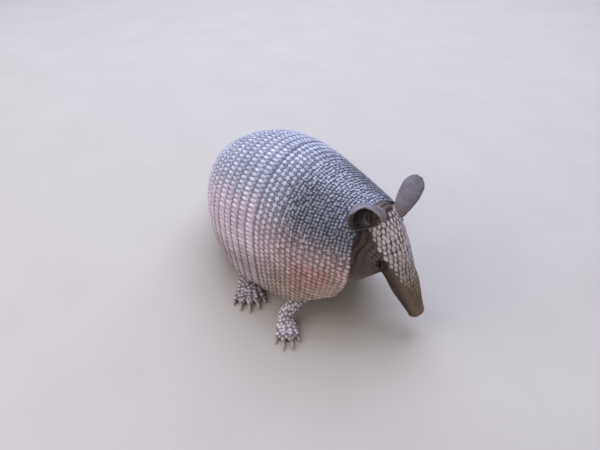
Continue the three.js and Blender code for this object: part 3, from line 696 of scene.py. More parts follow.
def hide(name, cell, relief, roughness):
    """Bare skin: tinted by its place, blotched, and creased into small pebbles."""
    material, nodes = new_material(name)
    place = add_node(nodes, "ShaderNodeTexCoord").outputs["Object"]
    tint = add_node(nodes, "ShaderNodeAttribute", attribute_name="tint").outputs["Color"]
    # blotches of 6 mm, where blood and dust show through
    blotch = add_node(nodes, "ShaderNodeTexNoise", {"Vector": place, "Scale": 1 / (6 * MM), "Detail": 5.0,
                                                    "Roughness": 0.65}).outputs["Fac"]
    shade = add_node(nodes, "ShaderNodeMapRange", {"Value": blotch, "From Min": 0.3, "From Max": 0.7,
                                                   "To Min": 0.72, "To Max": 1.25}).outputs["Result"]
    wobble = add_node(nodes, "ShaderNodeTexNoise", {"Vector": place, "Scale": 1 / (2.5 * MM),
                                                    "Detail": 2.0}).outputs["Color"]
    bent = add_node(nodes, "ShaderNodeVectorMath", {0: wobble, 1: (1.2 * MM,) * 3, 2: place},
                    operation="MULTIPLY_ADD").outputs[0]
    crease = add_node(nodes, "ShaderNodeTexVoronoi", {"Vector": bent, "Scale": 1 / (cell * MM)},
                      feature="DISTANCE_TO_EDGE").outputs["Distance"]
    pebble = add_node(nodes, "ShaderNodeMapRange", {"Value": crease, "From Max": 0.22},
                      interpolation_type="SMOOTHSTEP").outputs["Result"]
    darker = add_node(nodes, "ShaderNodeMapRange", {"Value": pebble, "To Min": 0.72, "To Max": 1.04})
    both = add_node(nodes, "ShaderNodeMath", {0: shade, 1: darker.outputs["Result"]}, operation="MULTIPLY")
    shaded = add_node(nodes, "ShaderNodeVectorMath", {0: tint, "Scale": both.outputs[0]}, operation="SCALE").outputs[0]
    fine = add_node(nodes, "ShaderNodeTexNoise", {"Vector": place, "Scale": 1 / (0.5 * MM), "Detail": 3.0})
    height = add_node(nodes, "ShaderNodeMath", {0: fine.outputs["Fac"], 1: 0.35, 2: pebble},
                      operation="MULTIPLY_ADD").outputs[0]
    bump = add_node(nodes, "ShaderNodeBump", {"Height": height, "Strength": 0.7, "Distance": relief * MM})
    polish = add_node(nodes, "ShaderNodeMapRange", {"Value": pebble, "To Min": roughness + 0.15,
                                                    "To Max": roughness})
    shader = add_node(nodes, "ShaderNodeBsdfPrincipled", {"Base Color": shaded, "IOR": 1.4,
                                                          "Roughness": polish.outputs["Result"],
                                                          "Normal": bump.outputs["Normal"]})
    add_node(nodes, "ShaderNodeOutputMaterial", {"Surface": shader.outputs["BSDF"]})
    return material


# ------------------------------------------------------------------ ears
def ear_frame(ear, u):
    """Base, directions along, across and to the open side of an ear, and its bend and radius at u."""
    base = head_point(ear["t"], math.radians(ear["angle"]), ear["lift"])
    along = unit(np.array(ear["axis"], float))
    side = unit(np.cross(along, ear["open"]))
    swell = 0.42 + 0.58 * np.sin(math.pi * (0.12 + 0.62 * u))
    tip = np.where(u < 0.7, 1, np.sqrt(np.maximum(1 - ((u - 0.7) / 0.31) ** 2, 0)))
    bend = math.radians(ear["curl"]) * (1 - ear["unroll"] * u)
    radius = ear["width"] / 2 * swell * tip / np.sin(np.minimum(bend, math.pi / 2))
    return base, along, side, unit(np.cross(side, along)), bend, radius


def ear_surface(ear, u, w, depth=0.0):
    """A cupped leaf: u from its root to its tip, w across it, depth outwards from its middle."""
    u, w = alike(u, w)
    base, along, side, face, bend, radius = ear_frame(ear, u)
    out = (radius + depth) * np.cos(bend * w)
    return (base + along * (EAR_LENGTH * u)[..., None]
            + side * ((radius + depth) * np.sin(bend * w))[..., None]
            + face * (radius * np.cos(bend) - out)[..., None])


def in_ear_hollow(points):
    """Whether points lie in the rolled lower part of the right ear."""
    ear = EARS["right"]
    base, along = ear_frame(ear, np.zeros(1))[:2]
    away = points - base
    u = away @ along / EAR_LENGTH
    base, along, side, face, bend, radius = ear_frame(ear, u)
    reach = np.hypot(away @ side, away @ face - radius * np.cos(bend))
    return (u > -0.15) & (u < 0.75) & (reach < radius + 0.9)


# ------------------------------------------------------------------ shell
def fine_zone(s, v):
    """1 on the shoulder, where the scutes are small and dark, fading towards the bands and the flank."""
    return ramp(s, 56, 32) * ramp(np.abs(v), 0.54, 0.36)


def shell_tint(look, s, v, draw):
    """Colour of the horn at a place of the shell, a little different from scute to scute."""
    share = np.abs(v) + 0.035 * draw.uniform(-1, 1, np.shape(s))
    front = ramp(s, 66, 36)
    # the shoulder's dark tone, partly painted shade, is weaker along the crest that faces the light
    tone = blend(look.back, look.shoulder, ramp(s, 62, 32) * (0.42 + 0.58 * ramp(share, 0.03, 0.22)))
    start, width = 0.28 + 0.04 * front, 0.22 + 0.1 * front
    warm = blend(look.flank, toned(look.rim, (1.15, 1, 0.98)), 0.55 * front + 0.25 * ramp(s, 26, -4))
    tone = blend(tone, warm, ramp(share, start, start + width))
    tone = blend(tone, look.rim, ramp(share, 0.55, 0.82) * (0.45 + 0.55 * front))
    tone = tone * (1 - 0.26 * ramp(share, 0.66, 0.86) * (1 - front))[..., None]
    # broad faint patches, as soil and wear leave them
    patch = np.sin(s / 6.1 + 9 * v) * np.sin(s / 9.7 - 14 * v + 1.3)
    tone = tone * (1 + 0.08 * patch)[..., None]
    tone = blend(tone, look.blush, 0.55 * ramp(share, 0.56, 0.68) * ramp(share, 0.92, 0.78)
                 * ramp(s, -4, 6) * ramp(s, 42, 20))
    spread = 0.16 + 0.12 * fine_zone(s, v)
    return tone * (1 + spread * draw.uniform(-1, 1, np.shape(s)))[..., None]


def shell_locate(points):
    """Distance behind the nape and place across the shell nearest to each point."""
    s, v = (grid.ravel() for grid in np.meshgrid(np.arange(-14, 194, 2.0), np.linspace(-1, 1, 121)))
    tree = tree_of(shell_surface(s, v))
    index = np.array([tree.find(point)[1] for point in points])
    return s[index], v[index]


def groove_tint(look, mesh, draw):
    """Colour of the skin in the grooves: that of the scutes round it, darker."""
    spots = positions(mesh)
    s, v = shell_locate(spots)
    depth = look.depth * (1 - 0.2 * fine_zone(s, v) + 0.18 * ramp(np.abs(v), 0.3, 0.5))
    # painted shade: inside the rolled right ear's hollow the grooves are half as bright
    depth = depth * np.where(in_ear_hollow(spots), 0.5, 1)
    return depth[:, None] * shell_tint(look, s, v, draw)


def shell_place(s, v):
    """Place on the shell's own unwrap, with its length up the sheet and its width across it."""
    return columns(0.5 + 0.48 * v, 0.03 + 0.94 * (s + 12) / (SHELL_END + 14))


def row_line(front, rear, u):
    """Distance behind the nape along a row of scutes at the share u of a shield, for each v."""
    return lambda v: front(v) + (rear - front(v)) * u


def shield_rows(reach, pitches):
    """Share of the shield at the middle of each row, and the length of its scutes, which fill it exactly."""
    rows, place = [], 0.0
    while place < reach:
        pitch = np.interp(place / reach, (0, 1), pitches)
        rows.append((place + pitch / 2, pitch))
        place += pitch
    scale = reach / place
    return [(middle * scale / reach, pitch * scale) for middle, pitch in rows]


class ShieldScutes:
    """Rounded scutes in staggered rows over a shield, with beads in the gaps between them."""

    def __init__(self, name, look, front, rear, fine=None):
        self.name, self.look, self.front, self.rear, self.fine = name, look, front, rear, fine
        self.draw = np.random.default_rng(len(name))
        self.reach = float(rear - np.mean(front(np.linspace(-1, 1, 41))))
        self.large = Scatter(bead_template(9))
        self.beads = Scatter(dome_template(6, ((1, -0.1), (0.7, 0.8))))
        self.small = Scatter(dome_template(7, ((1, -0.2), (0.86, 0.4), (0.5, 0.85))))

    def lay(self, scatter, s, v, lift, sizes, shade):
        """Adds the scutes that aren't inside an ear."""
        scatter.lay(shell_point, s, v, lift, sizes, shade * shell_tint(self.look, s, v, self.draw),
                    shell_place(s, v), lambda spots: ~in_ear_hollow(spots))

    def coarse(self, s, v):
        """The places that aren't left to the fine scutes."""
        if not self.fine:
            return s, v
        kept = self.fine(s, v) < 0.5
        return s[kept], v[kept]

    def large_row(self, row, u, pitch, step, v, fill):
        """The large scutes of one row, flatter and broader on the flank."""
        draw, at = self.draw, row_line(self.front, self.rear, u)
        dome = self.look.dome
        if row % 2 == 0:
            # half scutes at the rims, where the row itself stops short of them
            ends = np.array((0.2 * v[0] - 0.8, 0.2 * v[-1] + 0.8))
            sizes = columns(0.24 * step, 0.46 * pitch * stretch(at(ends), ends), 0.26 * dome)
            self.lay(self.large, at(ends), ends, -0.38, sizes, 0.97)
        s, v = self.coarse(at(v), v)
        flank = ramp(np.abs(v), 0.45, 0.75)
        wide = step * fill * (1 + 0.12 * flank)
        long = pitch * stretch(s, v) * (fill - 0.03) * (1 + 0.22 * flank)
        if self.fine:
            shrink = 1 - 0.3 * self.fine(s, v)
            wide, long = wide * shrink, long * shrink
        high = dome * np.interp(pitch, (3, 5), (0.7, 1.0)) * (1 - 0.5 * flank)
        high = high * draw.uniform(0.8, 1.15, v.shape)
        # the scutes near the nape stand less evenly than those near the bands
        stray = (1 - 0.6 * flank) * np.interp(u, (0.35, 0.9), (0.1, 0.04))
        s = s + draw.normal(0, 1, v.shape) * stray * pitch
        v = v + draw.normal(0, 1, v.shape) * stray * step / HALF_GIRTH
        sizes = columns(wide, long, high * 0.55) * draw.uniform(0.88, 1.08, v.shape)[:, None]
        self.lay(self.large, s, v, -0.35, sizes, 1.0)

    def bead_rows(self, last, u, pitch, step, v, fill):
        """Beads between the scutes of a row, and, but for the last row, between it and the next."""
        at = row_line(self.front, self.rear, u)
        half = (v[1:] + v[:-1]) / 2
        quarter = np.sort(np.concatenate([v[:-1] * 0.75 + v[1:] * 0.25, v[:-1] * 0.25 + v[1:] * 0.75]))
        for spots, ahead, across, along in ((half, 0.0, 0.53 - fill, 0.26), (quarter, 0.5, 0.17, 0.16)):
            if last and ahead:
                continue
            s, spots = self.coarse(at(spots) + ahead * pitch, spots)
            shrunk = 1 - 0.35 * ramp(np.abs(spots), 0.5, 0.75)
            sizes = columns(step * across * shrunk * 1.25, pitch * along * shrunk * stretch(s, spots),
                            0.34 * self.look.dome * shrunk)
            sizes = sizes * self.draw.uniform(0.8, 1.15, spots.shape)[:, None]
            self.lay(self.beads, s, spots, -0.5, sizes, 0.82)

    def fine_rows(self):
        """Small scutes close together, less even than the large ones."""
        look, draw = self.look, self.draw
        count = int(self.reach / look.fine_pitch)
        for row in range(count):
            at = row_line(self.front, self.rear, (row + 0.5) / count)
            over = np.linspace(-1, 1, 41)
            length = run_along(shell_point(at(over), over, 0))[-1]
            v, step = lay_row(lambda v: shell_point(at(v), v, 0), int(length / look.fine_pitch), row)
            kept = self.fine(at(v), v) >= 0.45
            v = v[kept] + draw.normal(0, 0.11, kept.sum()) * step / HALF_GIRTH
            s = at(v) + draw.normal(0, 0.11, v.shape) * look.fine_pitch
            grow = look.fine_pitch * draw.uniform(0.42, 0.54, v.shape) * (1.15 - 0.15 * self.fine(s, v))
            sizes = columns(grow, grow * 1.05, 0.5 * look.dome * draw.uniform(0.4, 0.9, v.shape))
            self.lay(self.small, s, v, -0.4, sizes, 1.0)

    def build(self, pitches, counts):
        """Lays every row; the scutes' length and their number in a row run from front to rear."""
        rows = shield_rows(self.reach, pitches)
        fills = (0.46, 0.42) if pitches[0] < pitches[1] else (0.42, 0.44)
        for row, (u, pitch) in enumerate(rows):
            at = row_line(self.front, self.rear, u)
            count = int(round(np.interp(u, (0, 1), counts)))
            v, step = lay_row(lambda v: shell_point(at(v), v, 0), count, row)
            fill = np.interp(u, (0, 1), fills)
            self.large_row(row, u, pitch, step, v, fill)
            self.bead_rows(row == len(rows) - 1, u, pitch, step, v, fill)
        horn = keratin("Shield_horn", 0.5, 0.12, 0.38)
        self.large.build(self.name + "_scutes", horn, "shell", worn_and_lit=1.17, sunk=0.76)
        self.beads.build(self.name + "_beads", horn, "shell", worn_and_lit=1.1, sunk=0.74)
        if self.fine:
            self.fine_rows()
            self.small.build(self.name + "_fine_scutes", horn, "shell", worn_and_lit=1.22, sunk=0.66)


def shell_plate(name, front, rear, look, replaced):
    """The wall of a large shield under its scutes, with the dark skin of the grooves."""

    def place(u, w, drop):
        v = 2 * w - 1
        return shell_point(row_line(front, rear, u)(v), v, PLATE_SUNK + drop)

    mesh = plate_mesh(name, 120, 40, place, look.wall)
    paint(mesh, groove_tint(look, mesh, np.random.default_rng(5)))
    new_object(name, mesh, hide("Groove_skin_" + name, 0.9, 0.15, 0.6), (replaced,))


class ArmadilloShields(bpy.types.Operator):
    """Build the shoulder shield and the rump shield, with a wall and its scutes for each"""

    bl_idname = "armadillo.shields"
    bl_label = "Shields"

    def execute(self, context):
        look = context.scene.armadillo_shell
        gap = 0.05
        rear = SHIELD_LENGTH - gap
        ShieldScutes("scapular", look, shield_front, rear, fine_zone).build(
            (look.front_pitch, look.rear_pitch), (54, 66))
        shell_plate("scapular_plate", shield_front, rear, look, "scapular_shield")

        def front(v):
            return np.full(np.shape(v), SHIELD_LENGTH + BANDS_LENGTH + gap)

        ShieldScutes("pelvic", look, front, SHELL_END).build((4.7, 3.9), (62, 27))
        shell_plate("pelvic_plate", front, SHELL_END, look, "pelvic_shield")
        return {"FINISHED"}


def drop_template():
    """A long drop, widest and highest towards its rear."""
    spots, faces = bead_template(9)
    spots[:, 0] *= 1 + 0.3 * spots[:, 1]
    spots[:, 1] += 0.4 * np.clip(spots[:, 2], 0, 1) ** 2
    return spots, faces


def wedge_template():
    """A short drop, widest towards its front, that fills the gap between two long ones."""
    spots, faces = bead_template(7)
    spots[:, 0] *= 1 - 0.5 * spots[:, 1]
    return spots, faces


class ArmadilloBands(bpy.types.Operator):
    """Build the nine movable bands, each with its front edge under the plate ahead of it"""

    bl_idname = "armadillo.bands"
    bl_label = "Bands"

    def execute(self, context):
        look = context.scene.armadillo_shell
        horn = keratin("Band_horn", 0.45, 0.1, 0.38)
        groove = hide("Groove_skin_bands", 0.9, 0.15, 0.6)
        drop_shape, wedge_shape = drop_template(), wedge_template()
        tuck = 1.4
        for index in range(BAND_COUNT):
            name = f"band_{index + 1}"
            draw = np.random.default_rng(100 + index)
            start, end = band_edge(index) + 0.1, band_edge(index + 1) + 0.05
            long = end - start

            def place(u, w, drop):
                lift = -0.55 - 0.7 * ramp(u, 0.2, 0.02) + 0.35 * u
                return shell_point(start - tuck + (long + tuck) * u, 2 * w - 1, lift + drop * (u > 0.5))

            mesh = plate_mesh(name + "_plate", 120, 8, place, 1.2)
            paint(mesh, groove_tint(look, mesh, draw))
            new_object(name + "_plate", mesh, groove, (name,))
            scutes, wedges = Scatter(drop_shape), Scatter(wedge_shape)

            def line(v):
                return shell_point(start + long / 2, v, 0)

            count = int(round(run_along(line(np.linspace(-1, 1, 81)))[-1] / look.band_pitch))
            v, step = lay_row(line, count, index)
            flank = ramp(np.abs(v), 0.34, 0.6)
            s = start + long * (0.59 - 0.08 * flank)
            high = look.dome * (1.05 - 0.55 * flank) * draw.uniform(0.85, 1.15, v.shape)
            sizes = columns(step * (0.385 + 0.06 * flank), (2.5 + 0.5 * flank) * stretch(s, v), high * 0.55)
            sizes = sizes * draw.uniform(0.93, 1.05, v.shape)[:, None]
            scutes.lay(shell_point, s, v, -0.22, sizes, shell_tint(look, s, v, draw), shell_place(s, v))
            between = (v[1:] + v[:-1]) / 2
            s = np.full(between.shape, start + 0.3 * long)
            sizes = columns(0.24 * step, 1.75 * stretch(s, between), 0.26)
            wedges.lay(shell_point, s, between, -0.32, sizes, 0.84 * shell_tint(look, s, between, draw),
                       shell_place(s, between))
            scutes.build(name + "_scutes", horn, "band", worn_and_lit=1.2, sunk=0.78, rearward=0.14)
            wedges.build(name + "_wedges", horn, "band", worn_and_lit=1.06, sunk=0.8)
        return {"FINISHED"}


# ------------------------------------------------------------------ skin
def foot_frame(limb):
    """Heel, direction ahead and direction to the left of a foot, and the length of its palm."""
    kind, tip, turn = LIMBS[limb][:3]
    ahead = np.array((math.sin(math.radians(turn)), -math.cos(math.radians(turn)), 0.0))
    left = np.array((-ahead[1], ahead[0], 0.0))
    heel = np.array((*tip, 0.0)) - ahead * kind["length"]
    return heel, ahead, left, kind["length"] - kind["toe"] - kind["claw"]


def foot_place(spots, limb):
    """How far points lie ahead of a foot's heel and to its left, and the length of its palm."""
    heel, ahead, left, palm = foot_frame(limb)
    return (spots - heel) @ ahead, (spots - heel) @ left, palm


def foot_tone_and_shade(limb, fore):
    """Brightness of a foot: fore for the fore feet, and darker for the hind feet, as painted shade under the shell."""
    return fore if LIMBS[limb][0] is FORE else 0.85


def toe_lines(limb):
    """Root, direction, reach, thickness and claw length of each toe."""
    kind = LIMBS[limb][0]
    heel, ahead, left, palm = foot_frame(limb)
    for side, splay, long, thick in kind["toes"]:
        turn = math.radians(splay)
        fan = ahead * math.cos(turn) + left * math.sin(turn)
        root = heel + ahead * palm * 0.84 + left * side * kind["width"] * 0.5
        yield root, fan, kind["toe"] * long + palm * 0.16, thick, kind["claw"] * long


def leg_line(limb):
    """Points down the middle of a leg to its ankle, and the leg's radius at each."""
    (share, height, radius), stations = LIMBS[limb][3:]
    heel, ahead, _, palm = foot_frame(limb)
    ankle = heel + ahead * palm * share + np.array((0, 0, height))
    return (np.array([station[:3] for station in stations] + [ankle], float),
            [station[3] for station in stations] + [radius])


def limb_skin(bm, limb):
    """Leg, palm and toes, each as a closed tube that runs into the next."""
    kind, ankle_share = LIMBS[limb][0], LIMBS[limb][3][0]
    heel, ahead, _, palm = foot_frame(limb)
    marks, radii = leg_line(limb)
    heart = heel + ahead * palm * (ankle_share + 0.06) + np.array((0, 0, kind["height"] * 0.5))
    marks = np.vstack([marks, heart])
    table = {"k": np.arange(len(marks)), "x": marks[:, 0], "y": marks[:, 1], "z": marks[:, 2],
             "r": np.array(radii + [radii[-1] * 0.85])}
    run = np.linspace(0, len(marks) - 1, 4 * len(marks))
    line = columns(*(smooth(table, "k", axis, run) for axis in "xyz"))
    girth = smooth(table, "k", "r", run) - 0.2
    tube(bm, [(spot, wide, wide) for spot, wide in zip(line, girth)], 20)
    table = {"k": (0, 0.12, 0.5, 0.85, 1), "half": (0.28, 0.36, 0.44, 0.5, 0.47), "high": (0.5, 0.9, 1, 0.8, 0.62)}
    palm_run = []
    for u in np.linspace(0, 1, 9):
        half, high = (float(smooth(table, "k", key, u)) for key in ("half", "high"))
        high *= kind["height"]
        centre = heel + ahead * palm * u + np.array((0, 0, 0.36 * high))
        palm_run.append((centre, half * kind["width"] - 0.1, high * 0.62))
    tube(bm, palm_run, 18)
    for root, fan, reach, thick, _ in toe_lines(limb):
        marks = ((-0.1, kind["height"] * 0.36, thick * 0.9), (0.1, kind["height"] * 0.36, thick * 0.93),
                 (0.36, thick * 1.1, thick * 0.86), (0.6, thick * 0.98, thick * 0.94),
                 (0.84, thick * 0.84, thick * 0.84), (1.02, thick * 0.7, thick * 0.5))
        tube(bm, [(root + fan * reach * at + np.array((0, 0, z)), r, r) for at, z, r in marks], 12)


def trunk_place(u, w):
    """The trunk under the shell and across the belly; u runs back, w once round from the right rim."""
    s = 12.0 + 175.0 * u
    over_share = 0.62  # of the way round that lies under the shell
    v = np.where(w < over_share, -1 + 2 * w / over_share, 1)
    over = shell_point(s, v * 0.985, UNDER_SHELL)
    b = np.clip((w - over_share) / (1 - over_share), 0, 1)
    right, left = shell_point(s, -0.985, UNDER_SHELL), shell_point(s, 0.985, UNDER_SHELL)
    under = left + (right - left) * b[..., None]
    low = smooth(BELLY, "s", "low", s) + 0.3
    under[..., 2] -= (under[..., 2] - low) * np.sin(math.pi * b) ** 0.55
    return np.where((w < over_share)[..., None], over, under)


NECK = {"ahead": (-10, 0, 8, 16, 24, 31), "z": (62, 62, 61, 60, 60, 60), "half": (36, 38, 34, 28, 20, 11),
        "above": (33, 35, 31, 25, 19, 12), "below": (32, 33, 30, 26, 19, 12)}
NECK_STATION = 12.65  # behind the nape, where the neck leaves the trunk


def neck_frame():
    """Middle of the neck under the nape, and the directions ahead and to the left there."""
    turn = math.radians(float(np.interp(NECK_STATION, SPINE["s"], SPINE["turn"])))
    rear = np.array((*(np.interp(NECK_STATION, SPINE_S, line) for line in (SPINE_X, SPINE_Y)), 0.0))
    return rear, np.array((math.sin(turn), -math.cos(turn), 0)), np.array((math.cos(turn), math.sin(turn), 0))


def neck_place(u, w):
    ahead = -10 + 41 * u
    angle = 2 * math.pi * w
    rear, forward, left = neck_frame()
    z, half, above, below = (smooth(NECK, "ahead", key, ahead) for key in ("z", "half", "above", "below"))
    depth = np.where(np.cos(angle) > 0, above, below) - 0.3
    point = rear + forward * ahead[..., None] + left * ((half - 0.3) * np.sin(angle))[..., None]
    point[..., 2] += z + depth * np.cos(angle)
    return point


def nostril_gap(spots):
    """Distance of points from the nearer nostril."""
    front = HEAD_TOP + HEAD_FORWARD * NOSTRIL_STATION + HEAD_UP * 0.9
    return np.min([np.linalg.norm(spots - front - HEAD_LEFT * NOSTRIL_ASIDE * sign, axis=1)
                   for sign in SIDES.values()], axis=0)


def mouth_line(t, angle):
    """1 in the slit of the mouth, along each side of the lower jaw."""
    slit = np.abs(np.abs(angle) - MOUTH_ANGLE) * smooth(HEAD, "t", "half", t)
    return np.exp(-(slit / 0.7) ** 2) * ramp(t, 50, 56) * ramp(t, 83, 80)


def neck_folds(spots):
    """Folds of loose skin between the shell and the face: their height, 0 in a valley, and their share."""
    t, angle, depth = head_place(spots)
    rear, forward, left = neck_frame()
    ahead, across = (spots - rear) @ forward, (spots - rear) @ left
    run = ahead + 1.6 * np.sin(spots[:, 2] / 7.0) + 0.8 * np.sin(spots[:, 2] / 2.9 + across / 6)
    height = np.abs(np.sin(run * math.pi / 4.6)) ** 0.6
    share = (ramp(ahead, 5, 11) * ramp(t, 34, 20) * (1 - face_seat(t, np.abs(angle) - 0.1) * (depth < 1.3))
             * ramp(spots[:, 2], 24, 34) * (t > -40))
    return height, share * off_ears(spots)


def face_seat(t, angle):
    """1 where the face shield covers the head, 0 outside it, with a soft edge."""
    inside = ramp(face_reach(t) - np.abs(angle), -0.02, 0.1)
    return inside * ramp(t, FACE_FROM - 1, FACE_FROM + 1.5) * ramp(t, FACE_TO + 0.5, FACE_TO - 1.5)


def head_place(points):
    """Station, angle and relative depth of points in the head's own terms; the depth is 1 at its outside."""
    away = points - HEAD_TOP
    t, across, up = away @ HEAD_FORWARD, away @ HEAD_LEFT, away @ HEAD_UP
    half = smooth(HEAD, "t", "half", t)
    depth = np.where(up > 0, smooth(HEAD, "t", "above", t), smooth(HEAD, "t", "below", t))
    return t, np.arctan2(across / half, up / depth), np.hypot(across / half, up / depth)


def ear_place(points, ear):
    """Nearest place of each point on an ear: distance from its middle, u, w and side, + outside."""
    u, w = (grid.ravel() for grid in np.meshgrid(np.linspace(-0.05, 1, 43), np.linspace(-1, 1, 31)))
    middle = ear_surface(ear, u, w)
    outer = ear_surface(ear, u, w, 1.0) - middle
    near = np.full(len(points), 99.0)
    index = np.zeros(len(points), int)
    box = np.all((points > middle.min(0) - 4) & (points < middle.max(0) + 4), axis=1)
    some = np.flatnonzero(box)
    for start in range(0, len(some), 4000):
        part = some[start:start + 4000]
        gap = np.linalg.norm(points[part][:, None] - middle[None], axis=2)
        index[part] = gap.argmin(1)
        near[part] = gap.min(1)
    side = np.sum((points - middle[index]) * outer[index], -1)
    return near, u[index], w[index], side


def ear_gap(spots):
    """Distance of points from the middle of the nearer ear's leaf."""
    return np.min([ear_place(spots, ear)[0] for ear in EARS.values()], axis=0)


def off_ears(spots):
    return ear_gap(spots) >= 2.0


def eye_gap(spots):
    """Distance of points from the centre of the nearer eye."""
    return np.min([np.linalg.norm(spots - centre, axis=1) for centre in EYE_PLACE.values()], axis=0)


def eye_way(side):
    """Direction straight out of the head at an eye."""
    angle = SIDES[side] * EYE_ANGLE
    return unit(head_point(EYE_STATION, angle, 1) - head_point(EYE_STATION, angle, 0))


def refine(mesh, chosen):
    """Splits every edge that joins two chosen vertices."""
    with edited(mesh) as bm:
        picked = set(np.flatnonzero(chosen).tolist())
        edges = [edge for edge in bm.edges if all(vert.index in picked for vert in edge.verts)]
        bmesh.ops.subdivide_edges(bm, edges=edges, cuts=1, use_grid_fill=True, smooth=0.0)


def relax(mesh, chosen, rounds):
    with edited(mesh) as bm:
        verts = [bm.verts[i] for i in np.flatnonzero(chosen).tolist()]
        for _ in range(rounds):
            bmesh.ops.smooth_vert(bm, verts=verts, factor=0.5, use_axis_x=True, use_axis_y=True, use_axis_z=True)


def thinned(mesh, limit):
    """Fewer faces where the shell hides the skin."""
    mesh.calc_loop_triangles()
    count = len(mesh.loop_triangles)
    if count <= limit:
        return mesh
    source = linked("skin_fine", mesh)
    group = source.vertex_groups.new(name="hidden")
    spots = positions(mesh)
    gap = np.linalg.norm(spots[:, None, :2] - SPINE_LINE[None, ::6], axis=2)
    s = SPINE_S[::6][gap.argmin(1)]
    hidden = (spots[:, 2] > smooth(SHELL, "s", "rim", s) + 12) & (s > 12) & (s < 184) & (gap.min(1) < 60)
    group.add(np.flatnonzero(hidden).tolist(), 1.0, "REPLACE")
    group.add(np.flatnonzero(~hidden).tolist(), 0.02, "REPLACE")
    return with_modifier(source, "DECIMATE", ratio=limit / count, vertex_group="hidden", vertex_group_factor=1.0)


def sculpt_eye(spots, side):
    """Lids round the eye: an almond opening with a soft rim, and the skin sunk behind the ball."""
    way = eye_way(side)
    ahead = unit(HEAD_FORWARD - way * np.dot(HEAD_FORWARD, way))
    above = np.cross(way, ahead)
    above = above * np.sign(np.dot(above, HEAD_UP))
    away = spots - EYE_PLACE[side]
    along, high, out = away @ ahead, away @ above, away @ way
    near = (np.linalg.norm(away, axis=1) < 8.5) & (out > -1.5)
    opening = np.hypot(along / 2.75, (high + 0.12 * np.abs(along)) / 2.05)
    flat = np.hypot(along, high)
    # outside the opening: a rim over the ball, then a shallow hollow that runs out into the cheek
    rim = EYE_RADIUS + 0.55 - 0.25 * np.clip(opening - 1, 0, 1)
    ball = np.sqrt(np.maximum(rim ** 2 - flat ** 2, 0.0))
    target = np.where(flat < 3.2, np.maximum(ball, 0.9), 0.9)
    sunk = np.sqrt(np.maximum((EYE_RADIUS - 0.7) ** 2 - flat ** 2, 0.0)) * 0.9
    inside = ramp(opening, 1.12, 0.9)
    lid = target * (1 - inside) + sunk * inside
    lid = lid + sum(height * np.exp(-((opening - at) / 0.16) ** 2) for at, height in ((1.18, 0.28), (1.75, 0.22)))
    return spots + way * ((lid - out) * ramp(flat, 6.0, 3.4) * near)[:, None]


def add_ear(bm, ear):
    """An ear's leaf with its thickness, its inner side towards the hollow."""
    before = set(bm.faces)
    grid_onto(bm, 44, 40, lambda u, w: ear_surface(ear, -0.1 + 1.095 * u, 2 * w - 1, 0.62))
    leaf = [face for face in bm.faces if face not in before]
    bmesh.ops.recalc_face_normals(bm, faces=leaf)
    middle = leaf[len(leaf) // 2]
    inner = ear_surface(ear, 0.5, 0.0, -3.0) - np.array(middle.calc_center_median())
    if np.dot(np.array(middle.normal), inner) > 0:
        bmesh.ops.reverse_faces(bm, faces=leaf)
    bmesh.ops.solidify(bm, geom=leaf, thickness=1.5)


def joined_skin(look):
    """One closed skin round trunk, neck, head, ears and limbs."""
    bm = bmesh.new()
    grid_onto(bm, 60, 90, trunk_place, weld=True)
    grid_onto(bm, 24, 60, neck_place, weld=True)

    def head_skin(u, w):
        t, angle = -7 + 91 * u, math.pi * (2 * w - 1)
        return head_point(t, angle, -look.inset - 1.15 * face_seat(t, angle))

    grid_onto(bm, 120, 120, head_skin, weld=True)
    for ear in EARS.values():
        add_ear(bm, ear)
    for limb in LIMBS:
        limb_skin(bm, limb)
    source = linked("skin_source", finished(bm, "skin_parts"))
    return with_modifier(source, "REMESH", mode="VOXEL", voxel_size=look.voxel * MM)


def smooth_and_refine(mesh, rounds):
    """Smooths the seams of the joined skin, and gives the face and ears a finer mesh."""
    spots = positions(mesh)
    on_ear = ear_gap(spots) < 1.6
    toes = np.zeros(len(spots), bool)
    for limb in LIMBS:
        forward, across, palm = foot_place(spots, limb)
        toes |= (forward > palm * 0.75) & (forward < palm + 25) & (np.abs(across) < 16) & (spots[:, 2] < 9)
    t, _, depth = head_place(spots)
    head = (t > 6) & (t < 90) & (depth < 1.3)
    nose = (t > 73) & (t < 90) & (depth < 1.4)
    rear, forward, _ = neck_frame()
    chest = (np.abs((spots - rear) @ forward) < 11) & (spots[:, 2] < 50) & (normals(mesh)[:, 2] < 0.2)
    relax(mesh, ~on_ear & ~toes & ~head, rounds)
    relax(mesh, chest & (spots[:, 2] > 14), 40)
    relax(mesh, np.ones(len(spots), bool), 2)
    refine(mesh, on_ear | (eye_gap(spots) < 9) | nose)
    refine(mesh, eye_gap(positions(mesh)) < 5.6)


def sculpt(mesh):
    """Lids, nostrils, mouth, the creases of the snout and the folds of the neck."""
    spots, facing = positions(mesh), normals(mesh)
    t, angle, depth = head_place(spots)
    on_head = (depth < 1.35) & (t > -6) & (t < 88)
    for side in EYE_PLACE:
        spots = sculpt_eye(spots, side)
    # nostrils: two pits that open forwards and outwards at the tip of the snout
    gap = nostril_gap(spots)
    spots -= HEAD_FORWARD * (2.4 * np.exp(-(gap / 1.15) ** 2))[:, None]
    spots += HEAD_FORWARD * (0.35 * np.exp(-((gap - 2.0) / 0.6) ** 2))[:, None]
    spots -= facing * (0.8 * mouth_line(t, angle) * on_head)[:, None]
    # creases round the snout, deeper towards the nose
    crease = np.clip(np.sin(t * 2 * math.pi / 3.4 + 1.4 * np.sin(angle * 3)), 0, 1) ** 3
    spots -= facing * (0.22 * crease * ramp(t, 54, 66) * ramp(t, 83, 80) * on_head)[:, None]
    height, share = neck_folds(spots)
    spots -= facing * (1.6 * (1 - height) * share)[:, None]
    spots[:, 2] = np.maximum(spots[:, 2], 0.0)
    move(mesh, spots)


